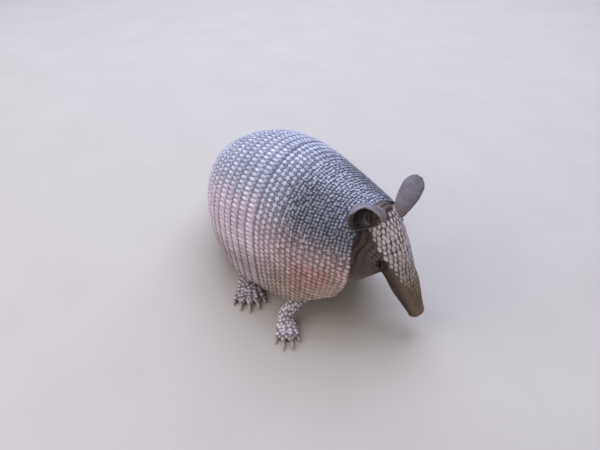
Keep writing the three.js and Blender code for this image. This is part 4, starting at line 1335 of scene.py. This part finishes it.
def ear_tint(look, name, u, w, side):
    """Colour of an ear: pink at its root; round the rolled one a pale fold, painted light in its shaded hollow, a
    painted highlight on its upper rim and painted shade on its lower rim; a dark rim round the other.
    """
    inner = ramp(side, 0.25, -0.25)
    rolled = ramp(u, 0.42, 0.1) * (name == "right")
    # the inside of the rolled right ear is painted pale: painted light where its hollow lies in shade
    leaf = blend(look.ear, blend(look.ear_inside, toned(look.ear, 1.9), 0.9 * rolled), inner)
    edge = np.maximum(ramp(np.abs(w), 0.8, 0.95), ramp(u, 0.91, 0.97))
    if name == "right":
        # a painted highlight along the right ear's upper rim, and painted shade along its lower rim
        leaf = blend(leaf, toned(look.ear, 1.9), 0.85 * edge * ramp(w, 0.3, 0.8) * ramp(u, 0.98, 0.8))
        leaf = blend(leaf, toned(look.ear_inside, 0.45), 0.8 * edge * ramp(w, 0.2, -0.4))
    else:
        leaf = blend(leaf, toned(look.ear, 0.5), 0.8 * edge)
    leaf = blend(leaf, look.ear_root, 0.8 * ramp(u, 0.25, 0.0) * ramp(side, -0.3, 0.3))
    streak = (1 + 0.2 * np.sin(w * 34 + 2 * np.sin(u * 9)) * ramp(u, 0.1, 0.3)
              + 0.22 * np.sin(u * 75 + 2 * w) * rolled * inner)
    return leaf * streak[:, None]


def skin_tint(look, mesh):
    """Colour of the bare skin at each vertex, by the part of the body that it lies on."""
    spots, facing = positions(mesh), normals(mesh)
    tone = blend(look.body, look.belly, ramp(facing[:, 2], 0.0, -0.8) * ramp(spots[:, 2], 60, 30))
    t, angle, depth = head_place(spots)
    on_head = ramp(depth, 1.5, 1.15) * ramp(t, -4, 6) * ramp(t, 92, 88)
    # the sides of the snout darker, partly their own skin and partly painted shade
    snout = blend(look.snout, look.snout_side_dark_and_shaded, ramp(np.abs(angle), math.radians(52), math.radians(92)))
    tone = blend(tone, snout, on_head * ramp(t, 20, 44))
    tone = blend(tone, toned(look.snout, (1.15, 1.0, 0.98)), 0.6 * on_head * ramp(t, 79, 83))
    # painted shade in the nostril pits and along the slit of the mouth
    nostrils = 0.85 * np.exp(-(nostril_gap(spots) / 1.9) ** 2)
    tone = tone * (1 - nostrils - 0.5 * mouth_line(t, angle) * on_head)[:, None]
    height, share = neck_folds(spots)
    # painted shade over the folds of the neck: darkest in their valleys, a little paler on their crests
    tone = tone * (1 + share * (0.75 * height - 0.6))[:, None]
    tone = blend(tone, toned(look.snout_side_dark_and_shaded, 0.45), ramp(eye_gap(spots), 5.2, 3.6))
    for limb in LIMBS:
        forward, across, _ = foot_place(spots, limb)
        foot = ramp(spots[:, 2], 26, 12) * ramp(forward, -9, -3) * ramp(np.abs(across), 18, 14) * ramp(forward, 62, 56)
        # the hind feet darker, as painted shade under the shell
        tone = blend(tone, toned(look.foot, foot_tone_and_shade(limb, 1.2)), foot)
    for name, ear in EARS.items():
        near, u, w, side = ear_place(spots, ear)
        tone = blend(tone, ear_tint(look, name, u, w, side), ramp(near, 2.6, 1.3))
    return np.clip(tone, 0, 1)


class ArmadilloSkin(bpy.types.Operator):
    """Build the one skin of head, ears, neck, trunk, legs and feet"""

    bl_idname = "armadillo.skin"
    bl_label = "Skin"

    def execute(self, context):
        look = context.scene.armadillo_skin
        mesh = joined_skin(look)
        smooth_and_refine(mesh, look.smoothing)
        sculpt(mesh)
        mesh = thinned(mesh, SKIN_TRIANGLES)
        mesh.name = "skin"
        paint(mesh, skin_tint(look, mesh))
        nodes = ["trunk", "neck", "head", "ear_right", "ear_left"]
        for side in SIDES:
            nodes += [f"foreleg_{side}", f"forefoot_{side}", f"hindleg_{side}", f"hindfoot_{side}"]
        new_object("skin", mesh, hide("Bare_skin", 1.05, 0.2, 0.55), nodes)
        return {"FINISHED"}


# ------------------------------------------------------------------ face shield and eyes
def face_surface(t, share, lift):
    """The face shield: t along the head, share from -1 to 1 across the shield."""
    return head_point(t, share * face_reach(np.asarray(t, float)), lift)


class ArmadilloFace(bpy.types.Operator):
    """Build the face shield: its wall and the oval scutes over the forehead and snout"""

    bl_idname = "armadillo.face"
    bl_label = "Face shield"

    def execute(self, context):
        look, shell, skin = (getattr(context.scene, "armadillo_" + part) for part in ("face", "shell", "skin"))
        draw = np.random.default_rng(7)

        def place(u, w, drop):
            return face_surface(FACE_FROM + (FACE_TO - FACE_FROM) * u, 2 * w - 1, -0.62 + 0.6 * drop)

        def sheet(t, share):
            return columns(0.5 + 0.45 * share, 0.04 + 0.72 * t / FACE_TO)

        mesh = plate_mesh("face_plate", 60, 60, place, 0.75)
        paint(mesh, toned(shell.groove, 1.05 * draw.uniform(0.85, 1.2, (len(mesh.vertices), 1))))
        new_object("face_plate", mesh, hide("Groove_skin_face", 0.8, 0.12, 0.6), ("face_shield",))
        scutes, beads = Scatter(bead_template(10)), Scatter(dome_template(6, ((1, -0.1), (0.7, 0.8))))
        t, row = FACE_FROM + 1.6, 0
        while t < FACE_TO + 15:
            small, past = ramp(t, 30, 50), ramp(t, FACE_TO - 3, FACE_TO + 10)
            pitch = look.pitch * (1 - 0.22 * small)
            width = run_along(face_surface(t, np.linspace(-1, 1, 41), 0.0))[-1]
            count = max(int(round(width / (pitch * 0.78))), 3)
            share, step = lay_row(lambda v: face_surface(t, v, 0.0), count, row)
            share = np.clip(share + draw.uniform(-0.09, 0.09, share.shape) * step / width * 2, -0.96, 0.96)
            at = t + draw.uniform(-0.1, 0.1, share.shape) * pitch
            # smaller and flatter on the crown between the ears
            grow = draw.uniform(0.84, 1.1, share.shape) * (1 - 0.25 * ramp(at, 14, 4) * ramp(np.abs(share), 0.4, 0.2))
            grow = grow * (1 - 0.5 * past * draw.uniform(0.6, 1.2, share.shape))
            sizes = grow[:, None] * (step * 0.45, pitch * 0.54, look.dome * 0.5 * (1 - 0.3 * small))
            tone = blend(look.crown, look.muzzle, ramp(at, 22, 50)) * draw.uniform(0.85, 1.13, share.shape)[:, None]
            tone = blend(tone, toned(skin.snout, 1.25), 0.9 * ramp(at, FACE_TO - 5, FACE_TO + 5))
            # beyond the shield they lie on the skin itself
            lift = -0.42 + 0.36 * ramp(at, FACE_TO - 1.5, FACE_TO + 1)
            scutes.lay(face_surface, at, share, lift, sizes, tone, sheet(at, share),
                       lambda centre: ~in_ear_hollow(centre) & (np.abs(share) < 1 - 0.45 * past))
            if t + pitch < FACE_TO - 1.2:
                half = (share[1:] + share[:-1]) / 2
                at = t + 0.5 * pitch * 0.86
                beads.lay(face_surface, at, half + 0.25 * step / width * 2, -0.5, (0.55, 0.55, 0.24),
                          toned(look.crown, 0.8), sheet(at, half))
            t += pitch * 0.86
            row += 1
        horn = keratin("Face_horn", 0.5, 0.1, 0.42)
        scutes.build("face_scutes", horn, "face", worn_and_lit=1.17)
        beads.build("face_beads", horn, "face", worn_and_lit=1.0)
        return {"FINISHED"}


class ArmadilloEyes(bpy.types.Operator):
    """Build the two dark eyes"""

    bl_idname = "armadillo.eyes"
    bl_label = "Eyes"

    def execute(self, context):
        look = context.scene.armadillo_claw
        material, nodes = new_material("Cornea_over_dark_iris")
        # a wet, clear front over a nearly black iris: one sharp highlight and hardly any colour
        place = add_node(nodes, "ShaderNodeTexCoord").outputs["Object"]
        tint = add_node(nodes, "ShaderNodeAttribute", attribute_name="tint").outputs["Color"]
        fibre = add_node(nodes, "ShaderNodeTexNoise", {"Vector": place, "Scale": 1 / (0.4 * MM), "Detail": 3.0})
        shade = add_node(nodes, "ShaderNodeMapRange", {"Value": fibre.outputs["Fac"], "To Min": 0.6, "To Max": 1.5})
        tone = add_node(nodes, "ShaderNodeVectorMath", {0: tint, "Scale": shade.outputs["Result"]}, operation="SCALE")
        shader = add_node(nodes, "ShaderNodeBsdfPrincipled", {"Base Color": tone.outputs[0], "Roughness": 0.06,
                                                              "IOR": 1.38, "Coat Weight": 0.5})
        add_node(nodes, "ShaderNodeOutputMaterial", {"Surface": shader.outputs["BSDF"]})
        for side in SIDES:
            way = eye_way(side)
            bm = bmesh.new()
            bmesh.ops.create_uvsphere(bm, u_segments=48, v_segments=32, radius=EYE_RADIUS)
            for vert in bm.verts:  # the cornea bulges a little
                vert.co.z += 0.12 * max(vert.co.z / EYE_RADIUS - 0.7, 0)
            turn = Vector((0, 0, 1)).rotation_difference(Vector(way)).to_matrix().to_4x4()
            bmesh.ops.transform(bm, verts=bm.verts[:], matrix=Matrix.Translation(Vector(EYE_PLACE[side])) @ turn)
            mesh = finished(bm, f"eyeball_{side}")
            front = (positions(mesh) - EYE_PLACE[side]) @ way / EYE_RADIUS
            iris = np.asarray(look.eye) + (0.03, 0.016, 0.008)
            paint(mesh, np.clip(blend(iris, toned(look.eye, 0.5), ramp(front, 0.86, 0.92)), 0, 1))
            new_object(f"eyeball_{side}", mesh, material, (f"eye_{side}",))
        return {"FINISHED"}


# ------------------------------------------------------------------ tail
class ArmadilloTail(bpy.types.Operator):
    """Build the tail: its skin and the rings of scutes that narrow to its tip"""

    bl_idname = "armadillo.tail"
    bl_label = "Tail"

    def execute(self, context):
        look, shell = context.scene.armadillo_tail, context.scene.armadillo_shell
        draw = np.random.default_rng(11)
        start, end = 0.02 * TAIL_LENGTH, TAIL_LENGTH

        def place(u, w):
            return tail_point(start + (end - start) * u, 2 * w - 1, -0.55 - 1.2 * ramp(u, 0.985, 1.0))

        bm = bmesh.new()
        grid_onto(bm, 150, 36, place, weld=True)
        mesh = finished(bm, "tail_skin")
        paint(mesh, toned(shell.groove, draw.uniform(0.85, 1.2, (len(mesh.vertices), 1))))
        new_object("tail_skin", mesh, hide("Groove_skin_tail", 0.9, 0.12, 0.6),
                   ("tail_base", "tail_middle", "tail_end", "tail_tip"))
        scutes = Scatter(dome_template(8, ((1, -0.25), (0.88, 0.35), (0.5, 0.88))))
        scutes.spots[:, 1] += 0.3 * np.clip(scutes.spots[:, 2], 0, 1) ** 2  # a keel towards the tip
        s, ring = start + 0.4, 0
        while s < end - 2.0:
            share = s / TAIL_LENGTH
            long = look.ring * (1 - 0.62 * share)
            radius = float(smooth(TAIL_RADII, "u", "radius", share))
            ringed = float(ramp(share, 0.8, 0.6)) * (radius > 5)
            # each ring has two rows of small scutes and one row of long raised ones
            for row, (at, length, spacing, lift, high) in enumerate(
                    ((0.14, 0.27, 2.9, 0.0, 0.26), (0.4, 0.27, 2.9, 0.0, 0.26), (0.76, 0.48, 3.5, 0.45, 0.34))):
                middle = s + long * at
                if middle > end - 1.0:
                    continue
                count = max(int(round(2 * math.pi * radius / (spacing * (0.55 + 0.45 * radius / 14)))), 5)
                v = (np.arange(count) + (0.5 if (ring + row) % 2 else 0.0)) / count * 2 - 1
                step = 2 * math.pi * radius / count
                grow = draw.uniform(0.94, 1.06, (count, 1))
                sizes = grow * (step * 0.47, long * length * 0.54, 0) + (0, 0, high)
                sheet = columns(0.5 + 0.46 * v, 0.03 + 0.94 * middle / TAIL_LENGTH)
                scutes.lay(tail_point, middle, v, -0.3 + lift * ringed, sizes,
                           toned(look.horn, draw.uniform(0.84, 1.14, (count, 1))), sheet)
            s += long
            ring += 1
        scutes.build("tail_scutes", keratin("Tail_horn", 0.5, 0.12, 0.45), "tail", worn_and_lit=1.15, sunk=0.55)
        return {"FINISHED"}


# ------------------------------------------------------------------ claws, small scutes and hair
class ArmadilloClaws(bpy.types.Operator):
    """Build the claws of the four feet"""

    bl_idname = "armadillo.claws"
    bl_label = "Claws"

    def execute(self, context):
        look = context.scene.armadillo_claw
        horn = keratin("Claw_horn", 0.35, 0.06, 0.34, mottle=0.18)
        marks = {"k": (-0.18, 0.0, 0.45, 0.8, 1.0), "z": (0.66, 0.72, 0.8, 0.58, 0.36),
                 "r": (0.56, 0.56, 0.48, 0.3, 0.1)}
        for limb in LIMBS:
            foot = limb.replace("fore_", "forefoot_").replace("hind_", "hindfoot_")
            bm = bmesh.new()
            roots = [(root + fan * reach, fan, thick, nail) for root, fan, reach, thick, nail in toe_lines(limb)]
            for base, fan, thick, nail in roots:
                stations = []
                for at in np.linspace(-0.18, 1.0, 12):
                    z, r = (float(smooth(marks, "k", key, at)) * thick for key in "zr")
                    stations.append((base + fan * nail * at + np.array((0, 0, max(z, r))), r * 0.92, r * 1.06))
                tube(bm, stations, 12)
            mesh = finished(bm, foot + "_claws")
            spots = positions(mesh)
            spots[:, 2] = np.maximum(spots[:, 2], 0.0)
            move(mesh, spots)
            share = np.full(len(spots), 9.0)
            for base, fan, _, nail in roots:
                away = spots - base
                off = np.linalg.norm(away - np.outer(away @ fan, fan), axis=1)
                share = np.where(off < 4.5, np.minimum(share, (away @ fan) / nail), share)
            paint(mesh, blend(look.root, look.tip, ramp(share, 0.0, 0.7)))
            names = [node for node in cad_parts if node.startswith(foot + "_claw_")]
            new_object(foot + "_claws", mesh, horn, names)
        return {"FINISHED"}


def near_leg(spots, limb):
    """Whether points lie on a leg, not on the belly beside it."""
    marks, radii = leg_line(limb)
    found = np.zeros(len(spots), bool)
    for first, second, r1, r2 in zip(marks, marks[1:], radii, radii[1:]):
        along = second - first
        share = np.clip((spots - first) @ along / (along @ along), 0, 1)
        gap = np.linalg.norm(spots - first - share[:, None] * along, axis=1)
        found |= gap < r1 + (r2 - r1) * share + 1.2
    return found


def staggered(spots, chosen, start, along, across, pitch):
    """Chosen vertices nearest to the points of staggered rows, as seen along the third direction."""
    index = np.flatnonzero(chosen)
    run, side = (spots[index] - start) @ along / (0.87 * pitch), (spots[index] - start) @ across / pitch
    row = np.round(run)
    shift = 0.5 * (row % 2)
    column = np.round(side - shift)
    miss = np.hypot(run - row, side - shift - column)
    order = np.argsort(miss, kind="stable")
    found = np.unique(columns(row, column)[order], axis=0, return_index=True)[1]
    return index[order[found[miss[order[found]] < 0.2]]]


def limb_scute_places(spots, facing):
    """At each vertex of the skin: size of a small scute, 0 for none, its brightness, lie and place on the sheet."""
    grow, shade, rows = np.zeros(len(spots)), np.ones(len(spots)), []
    upward, up = np.array((0.0, 0.0, 1.0)), spots[:, 2]
    lie = np.tile(-upward, (len(spots), 1))
    sheet = np.zeros((len(spots), 2))
    for number, limb in enumerate(LIMBS):
        heel, ahead, left, palm = foot_frame(limb)
        forward, across, _ = foot_place(spots, limb)
        foot = (forward > -2) & (forward < palm + 10) & (np.abs(across) < 14) & (up < 14) & (facing[:, 2] > 0.05)
        leg = ((forward > -22) & (forward < palm * 0.8) & (np.abs(across) < 17) & (up >= 11) & (up < 34)
               & (facing @ ahead > -0.3) & (facing[:, 2] > -0.45) & near_leg(spots, limb))
        grow = np.where(foot, 1.08, np.where(leg, 0.96, grow))
        # the hind feet's scutes darker, as painted shade under the shell
        shade[foot | leg] = foot_tone_and_shade(limb, 1.12)
        lie[foot] = ahead
        rows.append(staggered(spots, foot & (forward < palm * 0.9) & (facing[:, 2] > 0.35), heel, ahead, left,
                              FOOT_PITCH))
        rows.append(staggered(spots, leg & (facing @ ahead > 0.3), heel, upward, left, LEG_PITCH))
        sheet[foot | leg] = columns(0.06 + 0.24 * number + 0.004 * np.clip(across + 20, 0, 40),
                                    0.05 + 0.008 * np.clip(forward + up + 25, 0, 110))[foot | leg]
    t, angle, depth = head_place(spots)
    cheek = ((depth < 1.25) & (t > 8) & (t < 38) & (np.abs(angle) < math.radians(146))
             & (face_seat(t, np.abs(angle) - 0.12) < 0.05) & off_ears(spots) & (eye_gap(spots) > 5.4))
    fading = ramp(t, 6, 16) * ramp(t, 40, 28) * ramp(np.abs(angle), math.radians(150), math.radians(118))
    grow[cheek] = (0.4 + 0.42 * fading)[cheek]
    shade[cheek] = 0.0
    lie[cheek] = HEAD_FORWARD
    sheet[cheek] = columns(0.5 + 0.14 * angle, 0.93 + 0.0012 * t)[cheek]
    return grow, shade, lie, sheet, np.concatenate(rows)


def toe_rows(spots, facing):
    """Vertices of the skin under the row of broad scutes on top of each toe."""
    tree = tree_of(spots)
    found = []
    for limb in LIMBS:
        for root, fan, reach, thick, _ in toe_lines(limb):
            for at in np.arange(0.1, 0.98, TOE_PITCH / reach):
                index = tree.find(root + fan * reach * at + np.array((0, 0, 2 * thick + 1)))[1]
                if facing[index, 2] > 0.1:
                    found.append(index)
    return np.array(found, int)


def spread_out(spots, chosen, spacing, draw, first=()):
    """Picks chosen spots, the first ones and then a random order, none closer to another than its spacing."""
    kept, cells = [], {}
    cell = 3.0
    for i in (*first, *draw.permutation(np.flatnonzero(chosen))):
        spot = spots[i]
        key = tuple((spot // cell).astype(int))
        near = [j for dx in (-1, 0, 1) for dy in (-1, 0, 1) for dz in (-1, 0, 1)
                for j in cells.get((key[0] + dx, key[1] + dy, key[2] + dz), ())]
        if all(np.sum((spots[j] - spot) ** 2) > spacing[i] ** 2 for j in near):
            cells.setdefault(key, []).append(i)
            kept.append(i)
    return np.array(kept, int)


class ArmadilloLimbScutes(bpy.types.Operator):
    """Build the small scutes that lie apart in the skin of the feet, legs and cheeks"""

    bl_idname = "armadillo.limb_scutes"
    bl_label = "Small scutes"

    def execute(self, context):
        look = context.scene.armadillo_claw
        mesh = bpy.data.objects["skin"].data
        spots, facing = positions(mesh), normals(mesh)
        draw = np.random.default_rng(23)
        grow, shade, lie, sheet, rows = limb_scute_places(spots, facing)
        toes = toe_rows(spots, facing)
        kept = spread_out(spots, grow > 0, SCUTE_SPACING * grow, draw, (*toes, *rows))
        normal = facing[kept]
        along = unit(lie[kept] - normal * np.sum(lie[kept] * normal, -1, keepdims=True))
        axes = np.stack([np.cross(along, normal), along, normal], -2)
        grown = grow[kept] * draw.uniform(0.8, 1.05, len(kept))
        broad = np.where(np.isin(kept, toes), 1.36, 1.0)
        sizes = columns(1.42 * grown * broad, 1.52 * grown, 0.42 * grown)
        grey = toned(look.limb_scute, shade[kept, None] * draw.uniform(0.8, 1.15, (len(kept), 1)))
        brown = toned(look.root, 0.62 * draw.uniform(0.8, 1.15, (len(kept), 1)))
        tone = np.where(shade[kept, None] == 0, brown, grey)
        scutes = Scatter(dome_template(7, ((1, -0.2), (0.72, 0.75))))
        scutes.add(spots[kept] - normal * 0.02, axes, sizes, tone, sheet[kept])
        scutes.build("skin_scutes", keratin("Small_scute_horn", 0.4, 0.08, 0.45), "skin", worn_and_lit=1.1, sunk=0.68)
        return {"FINISHED"}


class ArmadilloHair(bpy.types.Operator):
    """Build the sparse pale bristles of the belly, legs and cheeks"""

    bl_idname = "armadillo.hair"
    bl_label = "Hair"

    def execute(self, context):
        look = context.scene.armadillo_claw
        mesh = bpy.data.objects["skin"].data
        spots, facing = positions(mesh), normals(mesh)
        draw = np.random.default_rng(31)
        t = head_place(spots)[0]
        belly = (facing[:, 2] < -0.25) & (spots[:, 2] > 14) & (spots[:, 2] < 60)
        leg = (spots[:, 2] > 12) & (spots[:, 2] < 40)
        chosen = (belly | leg) & (t < 30) & (spots[:, 1] > 262) & off_ears(spots)
        kept = spread_out(spots, chosen, np.full(len(spots), BRISTLE_SPACING), draw)
        kept = kept[draw.random(len(kept)) < 0.75]
        roots, normal = spots[kept], facing[kept]
        turn = np.radians(np.interp(SPINE_S, SPINE["s"], SPINE["turn"]))
        near = np.linalg.norm(roots[:, None, :2] - SPINE_LINE, axis=2).argmin(1)
        lie = columns(-np.sin(turn[near]), np.cos(turn[near]), -0.5)
        lie = unit(lie + draw.normal(0, 0.25, lie.shape) + 0.55 * normal)
        side = unit(np.cross(lie, normal + 0.01))
        bm = bmesh.new()
        bmesh.ops.create_cone(bm, cap_ends=True, segments=4, radius1=1.0, radius2=0.15, depth=1.0,
                              matrix=Matrix.Translation((0, 0, 0.5)))
        bristles = Scatter(template_of(bm))
        length = draw.uniform(3.5, 7.5, len(kept))
        sizes = columns(0.1, 0.1, length)
        sheet = 0.03 + 0.94 * (roots[:, :2] + (80, -255)) / (170, 240)
        bristles.add(roots - normal * 0.2, np.stack([side, np.cross(lie, side), lie], -2), sizes,
                     toned(look.hair, draw.uniform(0.7, 1.05, (len(kept), 1))), np.clip(sheet, 0.01, 0.99))
        bristles.build("bristles", keratin("Bristle", 0.8, 0.02, 0.5), "skin", worn_and_lit=1.0, sunk=0.7)
        return {"FINISHED"}


# ------------------------------------------------------------------ stage
class ArmadilloStage(bpy.types.Operator):
    """Build the floor, the lights and the camera"""

    bl_idname = "armadillo.stage"
    bl_label = "Stage"

    def execute(self, context):
        scene = context.scene
        bm = bmesh.new()
        bmesh.ops.create_grid(bm, x_segments=1, y_segments=1, size=4)
        mesh = mesh_from(bm, "floor")
        material, nodes = new_material("Pale_plaster")
        # matt plaster: faint clouds 80 mm wide, so that the floor isn't a dead flat tone
        place = add_node(nodes, "ShaderNodeTexCoord").outputs["Object"]
        cloud = add_node(nodes, "ShaderNodeTexNoise", {"Vector": place, "Scale": 1 / 0.08, "Detail": 3.0})
        tone = add_node(nodes, "ShaderNodeMix", {0: cloud.outputs["Fac"], 6: (*linear("#bdb5aa"), 1),
                                                 7: (*linear("#c9c1b6"), 1)}, data_type="RGBA")
        shader = add_node(nodes, "ShaderNodeBsdfPrincipled", {"Base Color": tone.outputs[2], "Roughness": 0.85})
        add_node(nodes, "ShaderNodeOutputMaterial", {"Surface": shader.outputs["BSDF"]})
        mesh.materials.append(material)
        linked("floor", mesh)

        # soft overcast light: a broad cool sheet overhead and a weak warm fill from the front
        for name, place, aim, width, power, tint in (
                ("overhead", (0.1, 0.75, 1.45), (0, 0, 0.05), 1.9, 42, "#d7e0ff"),
                ("side", (-1.35, -0.35, 0.95), (0, 0, 0.05), 1.3, 12, "#f3eef6"),
                ("front_fill", (-0.4, -1.5, 0.9), (0, 0, 0.05), 1.4, 5, "#fff1e2")):
            lamp = bpy.data.lights.new(name, "AREA")
            lamp.size = width
            lamp.energy = power
            lamp.color = linear(tint)
            light = linked(name, lamp)
            light.location = place
            light.rotation_euler = (Vector(aim) - Vector(place)).to_track_quat("-Z", "Y").to_euler()
        world = bpy.data.worlds.new("overcast")
        world.use_nodes = True
        world.node_tree.nodes["Background"].inputs["Color"].default_value = (*linear("#cfd6df"), 1)
        world.node_tree.nodes["Background"].inputs["Strength"].default_value = 0.42
        scene.world = world
        scene.view_settings.view_transform = "Standard"

        lens = bpy.data.cameras.new("view")
        lens.lens = CAMERA_LENS
        lens.sensor_width = 36.0
        camera = linked("view", lens)
        camera.location = Vector(SHIFT) + Vector((0, 0, CAMERA_HEIGHT * MM))
        camera.rotation_euler = (math.pi / 2 - CAMERA_PITCH, 0, 0)
        scene.camera = camera
        return {"FINISHED"}


PIECES = (ArmadilloSkin, ArmadilloShields, ArmadilloBands, ArmadilloFace, ArmadilloEyes, ArmadilloTail,
          ArmadilloClaws, ArmadilloLimbScutes, ArmadilloHair, ArmadilloStage)
SETTINGS = (("armadillo_shell", ArmadilloShellSettings), ("armadillo_skin", ArmadilloSkinSettings),
            ("armadillo_face", ArmadilloFaceSettings), ("armadillo_tail", ArmadilloTailSettings),
            ("armadillo_claw", ArmadilloClawSettings))


class ArmadilloPanel(bpy.types.Panel):
    """Lists the pieces of the armadillo and their settings"""

    bl_idname = "VIEW3D_PT_armadillo"
    bl_label = "Armadillo"
    bl_space_type = "VIEW_3D"
    bl_region_type = "UI"
    bl_category = "Armadillo"

    def draw(self, context):
        for piece in PIECES:
            self.layout.operator(piece.bl_idname)
        for name, settings in SETTINGS:
            box = self.layout.box()
            box.label(text=settings.__doc__)
            for key in settings.__annotations__:
                box.prop(getattr(context.scene, name), key)


def register():
    for settings in (entry[1] for entry in SETTINGS):
        bpy.utils.register_class(settings)
    for name, settings in SETTINGS:
        setattr(bpy.types.Scene, name, PointerProperty(type=settings))
    for piece in (*PIECES, ArmadilloPanel):
        bpy.utils.register_class(piece)


def unregister():
    for piece in reversed((*PIECES, ArmadilloPanel)):
        bpy.utils.unregister_class(piece)
    for name, settings in reversed(SETTINGS):
        delattr(bpy.types.Scene, name)
        bpy.utils.unregister_class(settings)


def main():
    register()
    for piece in PIECES:
        group, name = piece.bl_idname.split(".")
        getattr(getattr(bpy.ops, group), name)()


if __name__ == "__main__":
    main()
